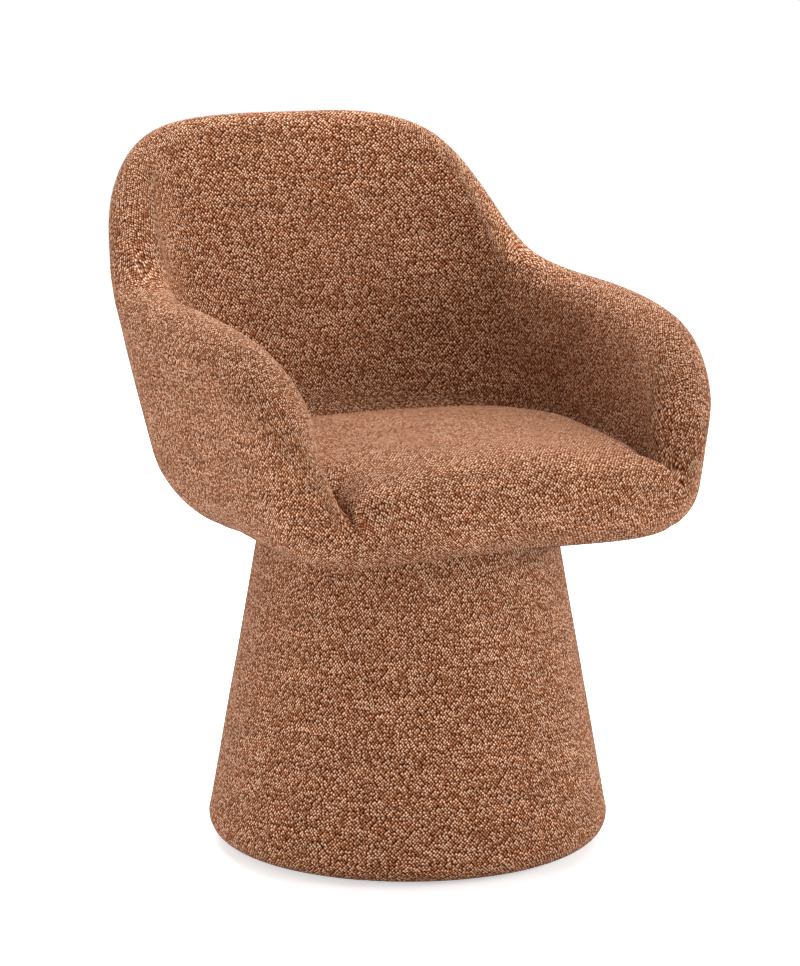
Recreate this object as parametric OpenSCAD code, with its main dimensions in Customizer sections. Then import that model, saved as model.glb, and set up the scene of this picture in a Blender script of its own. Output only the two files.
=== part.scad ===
// Swivel armchair: a padded tub seat that turns on a round, fabric-covered pedestal.
// Origin on the floor, on the turning axis. +Z is up and the sitter faces -Y.

/* [Overall] */
// Height of the top of the backrest above the floor
back_height = 800; // [770:5:840]
// Height of the top of the arms, halfway along
arm_height = 612; // [595:1:635]
// Height of the underside of the tub
under_height = 364; // [360:1:372]
// Rise of the seat's crown above the underside of the tub
seat_rise = 114; // [108:1:122]

/* [Tub outline] */
// Half of the tub's width, at its foot
foot_half_width = 255; // [245:1:268]
// Half of the tub's width, at the height of the backrest's top
top_half_width = 327; // [312:1:340]
// Reach of the tub's foot behind its centre
foot_back = 220; // [208:1:232]
// Reach of the backrest's top behind the tub's centre
top_back = 368; // [350:1:385]
// Reach of the front face before the tub's centre
front_reach = 250; // [240:1:262]
// How far the tub's centre lies before the turning axis
centre_forward = 11; // [4:1:18]
// Squareness of the plan behind, at the foot
square_low = 2.7; // [2.4:0.1:3]
// Squareness of the plan behind, at the top
square_high = 3.3; // [3:0.1:3.7]
// Squareness of the plan in front
square_front = 5.5; // [4.5:0.1:6]
// How early the walls lean outwards, 1 being a straight lean
lean_power = 0.8; // [0.75:0.01:1]
// Radius of the rounded lower edge at the sides
fillet_side = 72; // [66:1:80]
// Radius of the rounded lower edge behind
fillet_back = 98; // [84:1:108]
// Radius of the rounded lower edge in front
fillet_front = 58; // [54:1:66]
// How much tighter the rounded lower edge is at the two front corners
fillet_pinch = 16; // [0:1:20]

/* [Tub wall] */
// Thickness of the padded back and arms
wall = 54; // [50:1:58]
// Thickness of the low lip under the front of the seat
lip = 22; // [21:1:26]
// Height of the lip above the underside
lip_rise = 51; // [48:1:56]
// Thickness of the upholstery fabric
fabric = 2; // [1.6:0.1:2.4]
// Thickness of the moulded shell
shell_wall = 8; // [6:0.5:9]
// Depth of the shell below the outer fabric face
shell_depth = 8; // [6:0.5:9]
// Width of the shell's flange under the seat board
flange_width = 22; // [18:1:23]
// Steps round the rim of the tub
rim_steps = 40; // [32:2:40]

/* [Seat] */
// Thickness of the seat board
board = 15; // [12:1:18]
// Drop from the seat's crown to the crease along the back and arms
crease_drop = 23; // [18:1:27]
// How far the seat falls towards the backrest
seat_fall = 9; // [4:1:12]
// How far the cushion's front bulges past the lip
front_bulge = 3; // [1:0.5:5]

/* [Pedestal] */
// Gap between the top of the pedestal and the underside of the tub
turning_gap = 6; // [6:1:12]
// Radius of the pedestal at its foot
pedestal_foot = 226; // [214:1:238]
// Radius of the pedestal at its top
pedestal_top = 168; // [164:1:178]
// Radius of the padded roll at the pedestal's foot
roll_radius = 28; // [26:1:30]
// Height of the roll's lowest point above the floor
roll_clear = 3; // [2:0.5:4]
// Thickness of the foam round the pedestal
pedestal_padding = 12; // [10:1:13]
// Thickness of the bent drum
drum_wall = 4; // [3:0.5:5]
// Thickness of the pedestal's two round boards
round_board = 18; // [15:1:20]
// Thickness of the crossed ribs
rib_wall = 15; // [12:1:18]
// Number of glides
glide_count = 6; // [4:1:8]
// Radius of a glide
glide_radius = 14; // [10:1:18]

/* [Swivel] */
// Radius of the two swivel plates
plate_radius = 84; // [80:1:86]
// Sheet thickness of the swivel plates
plate_wall = 2.5; // [2:0.1:3]
// Radius of the circle that the balls run on
track_radius = 42; // [40:1:44]
// Radius of a bearing ball
ball_radius = 4; // [3.5:0.1:4.2]
// Number of bearing balls
ball_count = 14; // [10:1:16]
// Radius of the centre rivet
rivet_radius = 7; // [6:0.5:9]
// Radius of the mounting bolts
bolt_radius = 3; // [2.5:0.1:4]
// Number of bolts in each plate
bolt_count = 4; // [3:1:6]

/* [Small fixings] */
// Radius of a wood screw's shank
screw_radius = 2; // [1.75:0.25:2.5]
// Radius of a countersunk screw's head
screw_head = 5; // [4.5:0.5:5.5]
// Depth of a countersunk screw's head
screw_sink = 3; // [2.5:0.5:3]
// Length of a screw past the round board that it holds
screw_bite = 22; // [16:1:24]
// Radius of a glide's pin
glide_pin = 2.5; // [2:0.25:3]
// Length of a glide's pin in the board
glide_bite = 11; // [8:1:14]
// Distance of a glide's centre from the middle of the roll
glide_inset = 38; // [34:1:42]

/* [Clearances] */
// Gap between layers that only touch softly
soft_gap = 0.4; // [0.3:0.05:0.4]
// Room over the shell's edge in its pocket in the foam
edge_gap = 2; // [1.5:0.5:4]
// Gap beside the seat cushion
cushion_gap = 4; // [3.5:0.1:5]
// Running gap round the balls and the rivet
run_gap = 0.25; // [0.2:0.05:0.35]
// Gap round a screw or bolt in its hole
hole_gap = 0.15; // [0.1:0.05:0.3]

/* [Hidden] */
$fn = 72;

fabric_colour = "#A0623C";
foam_colour = "#E8DCB8";
shell_colour = "#2B2B2D";
plywood_colour = "#C9A36B";
steel_colour = "#B8BCC0";
dark_cloth_colour = "#1E1E20";

// Rim of the tub, from the middle of the back round one arm to the middle of the front:
// [angle of the rim, angle of the foot under it, share of back height, share of arm
// height, share of wall thickness]. Angles are in plan, from straight behind.
RIM = [
    [0, 0, 1, 1, 1],
    [20.5, 16, 0.995, 1, 1],
    [34, 32, 0.84, 1, 1.06],
    [45, 45, 0.42, 1, 1.28],
    [54.7, 57, 0.07, 1, 1.42],
    [72, 70, 0.02, 1, 1.44],
    [88.5, 86, 0, 0.99, 1.45],
    [104, 102, 0, 0.95, 1.44],
    [116, 114, 0, 0.845, 1.38],
    [128.8, 124, 0, 0.54, 1.18],
    [135.5, 131, 0, 0.285, 1],
    [138, 138, 0, 0.055, 0.75],
    [144.3, 147, 0, 0, 0],
    [156, 158, 0, 0, 0],
    [168, 169, 0, 0, 0],
    [180, 180, 0, 0, 0]
];
rim_last = len(RIM) - 1;

function mix(a, b, t) = a + (b - a) * t;
function clamp(x, low, high) = min(max(x, low), high);
function smooth(t) = let (c = clamp(t, 0, 1)) c * c * (3 - 2 * c);
function unit(v) = v / max(norm(v), 1e-30);
function reverse(list) = [for (i = [len(list) - 1:-1:0]) list[i]];

// A column of RIM as an even curve: the angles turn over at its ends, the rest mirror.
function rim_entry(column, i) =
    i < 0 ? (column < 2 ? -RIM[-i][column] : RIM[-i][column])
    : i > rim_last ? (column < 2 ? 360 - RIM[2 * rim_last - i][column]
        : RIM[2 * rim_last - i][column])
    : RIM[i][column];
function rim_curve(column, t) =
    let (i = floor(t), f = t - i, g = 1 - f)
    (g * g * g * rim_entry(column, i - 1)
        + (3 * f * f * f - 6 * f * f + 4) * rim_entry(column, i)
        + (3 * g * g * g - 6 * g * g + 4) * rim_entry(column, i + 1)
        + f * f * f * rim_entry(column, i + 2)) / 6;

seat_height = under_height + seat_rise;
pedestal_height = under_height - turning_gap;
back_slope = lean_power * (top_back - foot_back) / (back_height - under_height);
back_rim = back_height - wall / 2 * sin(atan(back_slope));
lip_height = under_height + lip_rise;

// One station of the rim: [rim angle, foot angle, rim height, wall thickness].
function station(t) = [
    rim_curve(0, t),
    rim_curve(1, t),
    lip_height + (arm_height - lip_height) * rim_curve(3, t)
        + (back_rim - arm_height) * rim_curve(2, t),
    mix(lip, wall, rim_curve(4, t))
];

// Plan of the tub's outer face at a height.
function rise(z) = clamp((z - under_height) / (back_height - under_height), 0, 1.1);
function half_width(z) = mix(foot_half_width, top_half_width, pow(rise(z), lean_power));
function reach(angle, z) = cos(angle) > 0
    ? mix(foot_back, top_back, pow(rise(z), lean_power)) : front_reach;
function squareness(angle, z) = cos(angle) > 0
    ? mix(square_low, square_high, min(rise(z), 1)) : square_front;
function plan_radius(angle, z) =
    let (n = squareness(angle, z))
    pow(pow(abs(sin(angle)) / half_width(z), n)
        + pow(abs(cos(angle)) / reach(angle, z), n), -1 / n);
function plan_normal(angle, z) =
    let (n = squareness(angle, z), w = half_width(z), d = reach(angle, z))
    unit([sign(sin(angle)) * pow(abs(sin(angle)) / w, n - 1) / w,
        sign(cos(angle)) * pow(abs(cos(angle)) / d, n - 1) / d]);
function fillet(angle) =
    mix(fillet_side, cos(angle) > 0 ? fillet_back : fillet_front, pow(cos(angle), 2))
    - (cos(angle) < 0 ? fillet_pinch * pow(sin(2 * angle), 2) : 0);

// Length of the outer face from the foot up to the rim, over fillet and wall.
function face_length(s) =
    let (h = s[2] - under_height, r = fillet(s[1]),
        turn = h < r ? acos(1 - h / r) : 90)
    r * turn * PI / 180 + max(h - r, 0);

// Point on the outer face, v being the share of that length; v below 0 is the flange.
function face_point(s, v) =
    let (r = fillet(s[1]), d = v * face_length(s), arc = r * PI / 2,
        turn = clamp(d / r * 180 / PI, 0, 90),
        angle = mix(s[1], s[0], smooth(v)),
        z = under_height + r * (1 - cos(turn)) + max(d - arc, 0),
        radius = plan_radius(angle, z) - r * (1 - sin(turn)) + min(d, 0))
    [radius * sin(angle), radius * cos(angle) - centre_forward, z];

// The stations run round the whole rim; the far half mirrors the near one.
function station_at(i) = let (t = 2 * rim_last * i / rim_steps) t > rim_last
    ? 2 * rim_last - t : t;
function side_of(i) = 2 * i > rim_steps ? -1 : 1;
function mirrored(p, side) = [p.x * side, p.y, p.z];

// A wall point at a depth below the outer face, measured square to that face.
function wall_point(t, v, depth) =
    let (e = 0.02, s = station(t),
        along = face_point(station(t + e), v) - face_point(station(t - e), v),
        up = face_point(s, min(v + e, 1)) - face_point(s, min(v + e, 1) - 2 * e),
        outward = unit(cross(up, along)))
    face_point(s, v) - outward * depth;

// Shares of the face at which every layer of the wall has a row.
WALL_ROWS = [0, 0.12, 0.25, 0.42, 0.68, 1];
function crest(s) = 1 - s[3] / 2 / face_length(s);
// Depth of the inner face: the wall's own low down, and that of the thicker roll above.
function inner_depth(s, w) = mix(min(s[3], wall), s[3], smooth((w - 0.45) / 0.55));

// Path round one layer of the wall, inset on every side: [share, depth] from the foot
// outside, over the rounded rim, to the foot inside.
function layer_path(s, inset) =
    let (r = s[3] / 2, top = crest(s), q = r - inset)
    concat(
        [for (w = WALL_ROWS) [w * top, inset]],
        [for (a = [40, 90, 140]) [top + q * sin(a) / face_length(s), r - q * cos(a)]],
        [for (w = reverse(WALL_ROWS)) [w * top, inner_depth(s, w) - inset]]);
// Path up one face of the shell, and of its pocket, which ends a little higher.
function sheet_path(s, depth) = [for (w = WALL_ROWS) [w * crest(s), depth]];
function pocket_path(s, depth) =
    concat(sheet_path(s, depth), [[crest(s) + edge_gap / face_length(s), depth]]);

// A closed ring of sections. Where a path rises its squares are split one way, and where
// it falls the other way, so the faces of two nested layers stay parallel.
module wall_solid(paths) {
    n = rim_steps;
    m = len(paths[0]);
    polyhedron(
        points = [for (i = [0:n - 1]) for (q = paths[i])
            mirrored(wall_point(station_at(i), q[0], q[1]), side_of(i))],
        faces = [for (i = [0:n - 1]) for (j = [0:m - 1]) for (half = [0, 1])
            let (k = (j + 1) % m, a = i * m + j, b = ((i + 1) % n) * m + j,
                c = ((i + 1) % n) * m + k, d = i * m + k)
            paths[i][k][0] > paths[i][j][0]
                ? (half == 0 ? [a, b, c] : [a, c, d])
                : (half == 0 ? [a, b, d] : [b, c, d])],
        convexity = 10);
}

module tub_cover() {
    color(fabric_colour)
    wall_solid([for (i = [0:rim_steps - 1])
        let (s = station(station_at(i)))
        concat(layer_path(s, 0), reverse(layer_path(s, fabric)))]);
}

module tub_foam() {
    near = shell_depth - soft_gap;
    far = shell_depth + shell_wall + soft_gap;
    color(foam_colour)
    wall_solid([for (i = [0:rim_steps - 1])
        let (s = station(station_at(i)))
        concat(layer_path(s, fabric + soft_gap), pocket_path(s, far),
            reverse(pocket_path(s, near)))]);
}

module tub_shell() {
    near = shell_depth;
    far = shell_depth + shell_wall;
    color(shell_colour)
    wall_solid([for (i = [0:rim_steps - 1])
        let (s = station(station_at(i)), flange = -flange_width / face_length(s))
        concat([[flange, near]], sheet_path(s, near),
            reverse(sheet_path(s, far)), [[flange, far]])]);
}

// Outline of the hole that the layers of the tub leave round the seat board.
function foot_outline(shrink, steps = 72) = [for (i = [0:steps - 1])
    let (a = 360 * i / steps,
        r = plan_radius(a, under_height) - fillet(a) - shrink)
    [r * sin(a), r * cos(a) - centre_forward]];

flange_bottom = under_height + shell_depth;
board_bottom = flange_bottom + shell_wall;
board_top = board_bottom + board;
screw_angles = [20, 65, 112, 160, 200, 248, 295, 340];
function screw_place(a) =
    let (r = plan_radius(a, under_height) - fillet(a) - flange_width / 2 - 1)
    [r * sin(a), r * cos(a) - centre_forward, 0];

module seat_board() {
    color(plywood_colour)
    difference() {
        translate([0, 0, board_bottom])
            linear_extrude(board) polygon(foot_outline(3));
        for (a = screw_angles)
            translate(screw_place(a) + [0, 0, board_bottom - 1])
                cylinder(r = screw_radius + hole_gap, h = board - 2, $fn = 24);
        bolt_circle() {
            translate([0, 0, board_bottom - 1])
                cylinder(r = bolt_radius + 1.5 + hole_gap, h = board + 2, $fn = 32);
            translate([0, 0, board_top - 1.5])
                cylinder(r = bolt_radius + 6 + hole_gap, h = 3, $fn = 32);
        }
    }
}

module shell_screws() {
    color(steel_colour)
    for (a = screw_angles)
        translate(screw_place(a)) {
            translate([0, 0, flange_bottom - 3.02]) cylinder(r1 = screw_head - 1.5, r2 = screw_head - 0.5, h = 3);
            translate([0, 0, flange_bottom - 1]) cylinder(r = screw_radius, h = shell_wall + board - 3);
        }
}

// The shell is holed for its screws: the holes are cut round, with the screw's own gap.
module shell_with_holes() {
    difference() {
        tub_shell();
        for (a = screw_angles)
            translate(screw_place(a) + [0, 0, flange_bottom - 1])
                cylinder(r = screw_radius + hole_gap, h = shell_wall + 2, $fn = 24);
    }
}

// Section of the wall's outer face at a plan angle, at a height above the underside:
// [radius, height, share of the face's normal that is level, share that points down].
function face_section(angle, h) =
    let (r = fillet(angle), e = 0.5,
        radius = function (q) plan_radius(angle, under_height + q)
            - (q < r ? r * (1 - sin(acos(1 - q / r))) : 0),
        slope = unit([radius(h + e) - radius(max(h - e, 0)), h + e - max(h - e, 0)]))
    [radius(h), under_height + h, slope.y, slope.x];
// Height on the outer face whose point at a depth lies at height z, by halving.
function section_height(angle, z, depth, low = 0, high = 300, n = 14) =
    let (h = (low + high) / 2, q = face_section(angle, h))
    n == 0 ? h
    : q[1] + depth * q[3] < z ? section_height(angle, z, depth, h, high, n - 1)
    : section_height(angle, z, depth, low, h, n - 1);
// Plan point at height z on the face at that depth, moved further in by an extra inset.
function wall_at(angle, z, depth, extra) =
    let (q = face_section(angle, section_height(angle, z, depth)),
        p = q[0] * [sin(angle), cos(angle)]
            - plan_normal(angle, q[1]) * (depth * q[2] + extra))
    [p.x, p.y - centre_forward];

// Seat cushion. Each plan angle has a profile from the seat board up to the edge of the
// crown: [depth of the wall face it follows, height on that face, inset from it, height,
// step towards the middle].
seat_angles = [0, 10, 20, 28, 36, 44, 52, 62, 75, 90, 103, 115, 124, 130, 134, 137, 142, 147,
    156, 168, 180];
seat_ring = concat(seat_angles,
    [for (i = [len(seat_angles) - 2:-1:1]) 360 - seat_angles[i]]);
nose_angle = 139;
crease_height = seat_height - crease_drop;
// The crease sinks towards the front corners, and the whole seat towards the backrest.
crease_sink = 34;
function fall_at(a) = seat_fall * smooth((100 - a) / 75);
function crease_at(a) = crease_height - fall_at(a) - crease_sink * smooth((a - 78) / 62);

// The front corners are drawn down and in, most of all beside the nose of an arm.
function corner(a) = a < nose_angle ? smooth((a - 108) / 31) : smooth((164 - a) / 25);

function side_profile(a, k) =
    let (z = crease_at(a), up = seat_height - fall_at(a) - z, floor_z = under_height + wall,
        g = cushion_gap, c = corner(a))
    [
        [wall, floor_z + 0.5, g + 7, board_top + soft_gap],
        [wall, floor_z + 0.5, g + 7, min(floor_z + 2, z - 12)],
        [wall, mix(floor_z, z, 0.5), g + 5, mix(floor_z, z, 0.5)],
        [wall, z - 4, g + 2 + k, z - 4],
        [wall, z, g + k, z],
        [wall, z, g + 3 + k, z + up * (0.32 - 0.08 * c) - k * 0.5],
        [wall, z, g + 10 - 4 * c + k * 0.7, z + up * (0.47 - 0.11 * c) - k * 0.8],
        [wall, z, g + 22 - 8 * c + k * 0.4, z + up * (0.58 - 0.05 * c) - k * 0.9],
        [wall, z, g + 46 - 8 * c, z + up * (0.7 + 0.03 * c) - k]
    ];
function front_profile(a, k) =
    let (z = lip_height + 4 + 9 * smooth((152 - a) / 10), up = seat_height - z,
        floor_z = under_height + lip,
        g = cushion_gap, c = corner(a))
    [
        [lip, floor_z + 0.5, g + 7, board_top + soft_gap],
        [lip, floor_z + 0.5, g + 9, board_top + 4],
        [lip, mix(floor_z, z, 0.5), g + 11, mix(floor_z, z, 0.5) + 2],
        [lip, z - 8, g + 6, z + soft_gap + k],
        [0, z, 1 + k, z + soft_gap + k],
        [0, z, k - front_bulge + 6 * c, z + up * (0.3 - 0.05 * c)],
        [0, z, 10 + 40 * c + k * 0.8, z + up * (0.62 - 0.26 * c) - k * 0.5, 7 * c],
        [0, z, 26 + 42 * c + k * 0.5, z + up * (0.8 - 0.28 * c) - k * 0.8, 9 * c],
        [0, z, 48 + 44 * c + k * 0.2, z + up * (0.89 - 0.17 * c) - k, 9 * c]
    ];
function seat_profile(angle, k) =
    let (a = angle > 180 ? 360 - angle : angle)
    a < nose_angle ? side_profile(a, k) : front_profile(a, k);
// Beside the nose of an arm the cushion's flank faces sideways, so its layers step in x.
function seat_point(angle, q, k = 0) =
    let (p = wall_at(angle, q[1], q[0], q[2]),
        a = angle > 180 ? 360 - angle : angle,
        step = (abs(a - nose_angle) < 6 ? k : 0) + (len(q) > 4 ? q[4] : 0))
    [p.x - step * sign(p.x), p.y, q[3]];

// Rows of the crown draw the last profile point in towards the middle.
CROWN_ROWS = [0.78, 0.52, 0.26];
function crown_point(angle, k, f) =
    let (edge = seat_point(angle, seat_profile(angle, k)[8], k),
        z = mix(seat_height - k, edge.z, pow(f, 2.2)))
    [edge.x * f, mix(-centre_forward, edge.y, f), z];
// The foam is eased further in at the front corners, where the cover bends most.
function eased(angle, k, ease) = k + ease * corner(angle > 180 ? 360 - angle : angle);
function seat_rows(k, first, ease = 0) = concat(
    [for (j = [first:8]) [for (a = seat_ring) let (e = eased(a, k, ease))
        seat_point(a, seat_profile(a, e)[j], e)]],
    [for (f = CROWN_ROWS) [for (a = seat_ring) crown_point(a, eased(a, k, ease), f)]]);

// Faces of stacked rings: bands, then a fan to the point that closes each end.
function band_faces(rows, n, base, flip) = [for (j = [0:rows - 2]) for (i = [0:n - 1])
    for (half = [0, 1])
    let (a = base + j * n + i, b = base + j * n + (i + 1) % n, c = b + n, d = a + n)
    flip ? (half == 0 ? [c, b, a] : [d, c, a]) : (half == 0 ? [a, b, c] : [a, c, d])];
function fan_faces(ring, n, tip, flip) = [for (i = [0:n - 1])
    flip ? [tip, ring + (i + 1) % n, ring + i] : [ring + i, ring + (i + 1) % n, tip]];

module seat_foam() {
    k = fabric + soft_gap;
    rows = seat_rows(k, 0, 1.2);
    n = len(seat_ring);
    m = len(rows);
    color(foam_colour)
    polyhedron(
        points = concat([for (row = rows) for (p = row) p],
            [[0, -centre_forward, seat_height - k],
                [0, -centre_forward, board_top + soft_gap]]),
        faces = concat(band_faces(m, n, 0, false),
            fan_faces((m - 1) * n, n, m * n, false),
            fan_faces(0, n, m * n + 1, true)),
        convexity = 6);
}

module seat_cover() {
    top_rows = seat_rows(0, 4);
    under_rows = seat_rows(fabric, 4);
    n = len(seat_ring);
    m = len(top_rows);
    color(fabric_colour)
    polyhedron(
        points = concat([for (row = top_rows) for (p = row) p],
            [for (row = under_rows) for (p = row) p],
            [[0, -centre_forward, seat_height], [0, -centre_forward, seat_height - fabric]]),
        faces = concat(band_faces(m, n, 0, false),
            fan_faces((m - 1) * n, n, 2 * m * n, false),
            band_faces(m, n, m * n, true),
            fan_faces((2 * m - 1) * n, n, 2 * m * n + 1, true),
            [for (i = [0:n - 1]) for (half = [0, 1])
                let (a = i, b = (i + 1) % n, c = m * n + b, d = m * n + a)
                half == 0 ? [c, b, a] : [d, c, a]]),
        convexity = 6);
}

module seat_dust_cover() {
    color(dark_cloth_colour)
    difference() {
        translate([0, 0, under_height - 1.1]) linear_extrude(0.8) polygon(foot_outline(-3));
        translate([0, 0, under_height - 2]) cylinder(r = plate_radius + 6, h = 3);
    }
}

// Swivel: two pressed plates, a ring of balls in a cage between them and a rivet
// through both. Heights run from the pedestal's top board to the seat board.
swivel_bottom = pedestal_height - fabric - soft_gap;
swivel_top = board_bottom;
ball_height = (swivel_bottom + swivel_top) / 2;
plate_gap = ball_radius * 0.84;
dish_radius = plate_radius - 28;
bolt_place = plate_radius - 12;
head_height = 3.5;

module bolt_circle(turn = 45) {
    for (i = [0:bolt_count - 1])
        rotate([0, 0, turn + 360 * i / bolt_count]) translate([bolt_place, 0, 0]) children();
}

// Half section of a plate: flange on z = 0, dish rising to its face at z = face.
module plate_profile(face, hole) {
    polygon([
        [hole, face - plate_wall],
        [dish_radius - 2, face - plate_wall],
        [dish_radius + 4, 0],
        [plate_radius, 0],
        [plate_radius, plate_wall],
        [dish_radius + 5.5, plate_wall],
        [dish_radius - 0.5, face],
        [hole, face]
    ]);
}

module swivel_plate(face, hole) {
    difference() {
        rotate_extrude() plate_profile(face, hole);
        translate([0, 0, face + plate_gap])
            rotate_extrude() translate([track_radius, 0])
                circle(r = ball_radius + run_gap, $fn = 32);
        bolt_circle() translate([0, 0, -1])
            cylinder(r = bolt_radius + hole_gap, h = plate_wall + 2, $fn = 32);
    }
}

plate_face = ball_height - plate_gap - swivel_bottom;

module lower_swivel_plate() {
    color(steel_colour)
    translate([0, 0, swivel_bottom]) swivel_plate(plate_face, rivet_radius);
}

module upper_swivel_plate() {
    color(steel_colour)
    translate([0, 0, swivel_top]) mirror([0, 0, 1])
        swivel_plate(plate_face, rivet_radius + run_gap);
}

module centre_rivet() {
    under = swivel_bottom + plate_face - plate_wall;
    over = swivel_top - plate_face + plate_wall + run_gap + 1.2;
    color(steel_colour)
    difference() {
        union() {
            translate([0, 0, under]) cylinder(r = rivet_radius, h = over - under);
            translate([0, 0, under - 2]) cylinder(r = rivet_radius + 4, h = 2);
            translate([0, 0, over]) cylinder(r1 = rivet_radius + 4, r2 = rivet_radius + 3, h = 2);
        }
        translate([0, 0, under - 3]) cylinder(r = rivet_radius - 2.5, h = over - under + 6);
    }
}

module rivet_washer() {
    color(steel_colour)
    translate([0, 0, swivel_top - plate_face + plate_wall + run_gap])
    difference() {
        cylinder(r = rivet_radius + 6, h = 1.2);
        translate([0, 0, -1]) cylinder(r = rivet_radius + 0.1, h = 4);
    }
}

module bearing_balls() {
    color(steel_colour)
    for (i = [0:ball_count - 1])
        rotate([0, 0, 360 * i / ball_count])
            translate([track_radius, 0, ball_height]) sphere(r = ball_radius, $fn = 32);
}

module ball_cage() {
    color("#D8D3C4")
    difference() {
        translate([0, 0, ball_height - 0.7])
            rotate_extrude() translate([track_radius - ball_radius - 4, 0])
                square([2 * ball_radius + 8, 1.4]);
        for (i = [0:ball_count - 1])
            rotate([0, 0, 360 * i / ball_count]) translate([track_radius, 0, ball_height - 2])
                cylinder(r = ball_radius + run_gap, h = 4, $fn = 32);
    }
}

// A bolt whose head stands below z = 0 and whose shank runs up.
module bolt(length) {
    translate([0, 0, -head_height]) cylinder(r = bolt_radius * 1.75, h = head_height, $fn = 6);
    cylinder(r = bolt_radius, h = length, $fn = 32);
}

// A tee nut: its flange lies on z = 0 and its barrel runs down into the board.
module tee_nut(depth) {
    difference() {
        union() {
            cylinder(r = bolt_radius + 6, h = 1.5, $fn = 32);
            translate([0, 0, -depth]) cylinder(r = bolt_radius + 1.5, h = depth + 1, $fn = 32);
        }
        translate([0, 0, -depth - 1])
            cylinder(r = bolt_radius + hole_gap, h = depth + 4, $fn = 32);
    }
}

module upper_bolts() {
    color(steel_colour)
    bolt_circle() translate([0, 0, swivel_top - plate_wall])
        bolt(plate_wall + board - 1);
}

module upper_tee_nuts() {
    color(steel_colour)
    bolt_circle() translate([0, 0, board_top - 1.5]) tee_nut(9);
}

// Pedestal.
top_board_bottom = swivel_bottom - round_board;
bottom_board_z = 10;
bottom_board_top = bottom_board_z + round_board;
roll_centre = [pedestal_foot - roll_radius, roll_clear + roll_radius];
cone_turn = atan2(pedestal_foot - pedestal_top, pedestal_height - roll_centre.y);
top_round = 6;
// Radius of the cone's face at a height, then of the same face set back by a depth.
function cone_radius(z, depth = 0) =
    mix(pedestal_foot, pedestal_top,
        (z - roll_centre.y) / (pedestal_height - roll_centre.y)) - depth / cos(cone_turn);

// Outer line of the pedestal's upholstery at a depth below the fabric face, from the
// stapled edge under the foot to the stapled edge on top.
function cone_path(k) = concat(
    [[roll_centre.x - 24, bottom_board_z - soft_gap - fabric + k]],
    [for (a = [-118:16:-6]) roll_centre + (roll_radius - k) * [cos(a), sin(a)]],
    [roll_centre + (roll_radius - k) * [cos(cone_turn * 0.4), sin(cone_turn * 0.4)]],
    [[cone_radius(roll_centre.y + 14, k), roll_centre.y + 14]],
    [for (a = [0:30:90]) [
        cone_radius(pedestal_height - top_round) - top_round
            + (top_round - k) * cos(a),
        pedestal_height - top_round + (top_round - k) * sin(a)]],
    [[plate_radius + 12, pedestal_height - k]]);

module pedestal_cover() {
    color(fabric_colour)
    rotate_extrude() polygon(concat(cone_path(0), reverse(cone_path(fabric))));
}

// The foam fills the space between the drum and the fabric.
drum_depth = fabric + soft_gap + pedestal_padding;
drum_bottom = bottom_board_z + 6;
module pedestal_foam() {
    k = fabric + soft_gap;
    path = cone_path(k);
    side = [for (i = [1:len(path) - 2]) path[i]];
    color(foam_colour)
    rotate_extrude() polygon(concat(
        [for (p = side) if (p.y < pedestal_height - top_round) p],
        [[cone_radius(pedestal_height - top_round, k), pedestal_height - top_round],
            [cone_radius(swivel_bottom - 3, drum_depth - soft_gap), swivel_bottom - 3],
            [cone_radius(drum_bottom, drum_depth - soft_gap), drum_bottom - soft_gap],
            [cone_radius(drum_bottom, drum_depth + drum_wall - soft_gap), drum_bottom - soft_gap],
            [cone_radius(bottom_board_z, drum_depth + drum_wall - soft_gap),
                bottom_board_z - soft_gap],
            [roll_centre.x - 10, bottom_board_z - soft_gap]]));
}

module pedestal_drum() {
    color("#8C6B45")
    rotate_extrude() polygon([
        [cone_radius(drum_bottom, drum_depth), drum_bottom],
        [cone_radius(swivel_bottom - 3, drum_depth), swivel_bottom - 3],
        [cone_radius(swivel_bottom - 3, drum_depth + drum_wall), swivel_bottom - 3],
        [cone_radius(drum_bottom, drum_depth + drum_wall), drum_bottom]
    ]);
}

module round_board_blank(z) {
    inner = drum_depth + drum_wall + hole_gap;
    translate([0, 0, z])
        cylinder(r1 = cone_radius(z, inner), r2 = cone_radius(z + round_board, inner),
            h = round_board);
}

rib_screws = [45, 125];
module on_ribs(places = rib_screws) {
    for (turn = [0:90:270]) rotate([0, 0, turn])
        for (x = places) translate([x, 0, 0]) children();
}

module pedestal_top_board() {
    color(plywood_colour)
    difference() {
        round_board_blank(top_board_bottom);
        bolt_circle() {
            translate([0, 0, top_board_bottom - 1])
                cylinder(r = bolt_radius + 1.5 + hole_gap, h = round_board + 2, $fn = 32);
            translate([0, 0, top_board_bottom - 1.5])
                cylinder(r = bolt_radius + 6 + hole_gap, h = 3, $fn = 32);
        }
        on_ribs() {
            translate([0, 0, top_board_bottom - 1])
                cylinder(r = screw_radius + hole_gap, h = round_board + 2, $fn = 24);
            translate([0, 0, swivel_bottom - screw_sink])
                cylinder(r1 = screw_radius + hole_gap, r2 = screw_head + hole_gap,
                    h = screw_sink + 0.01, $fn = 24);
        }
    }
}

module pedestal_bottom_board() {
    color(plywood_colour)
    difference() {
        round_board_blank(bottom_board_z);
        on_ribs() {
            translate([0, 0, bottom_board_z - 1])
                cylinder(r = screw_radius + hole_gap, h = round_board + 2, $fn = 24);
            translate([0, 0, bottom_board_z - 0.01])
                cylinder(r1 = screw_head + hole_gap, r2 = screw_radius + hole_gap,
                    h = screw_sink + 0.01, $fn = 24);
        }
        glide_circle() translate([0, 0, bottom_board_z - 1])
            cylinder(r = glide_pin + hole_gap, h = glide_bite + 2, $fn = 24);
    }
}

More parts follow.
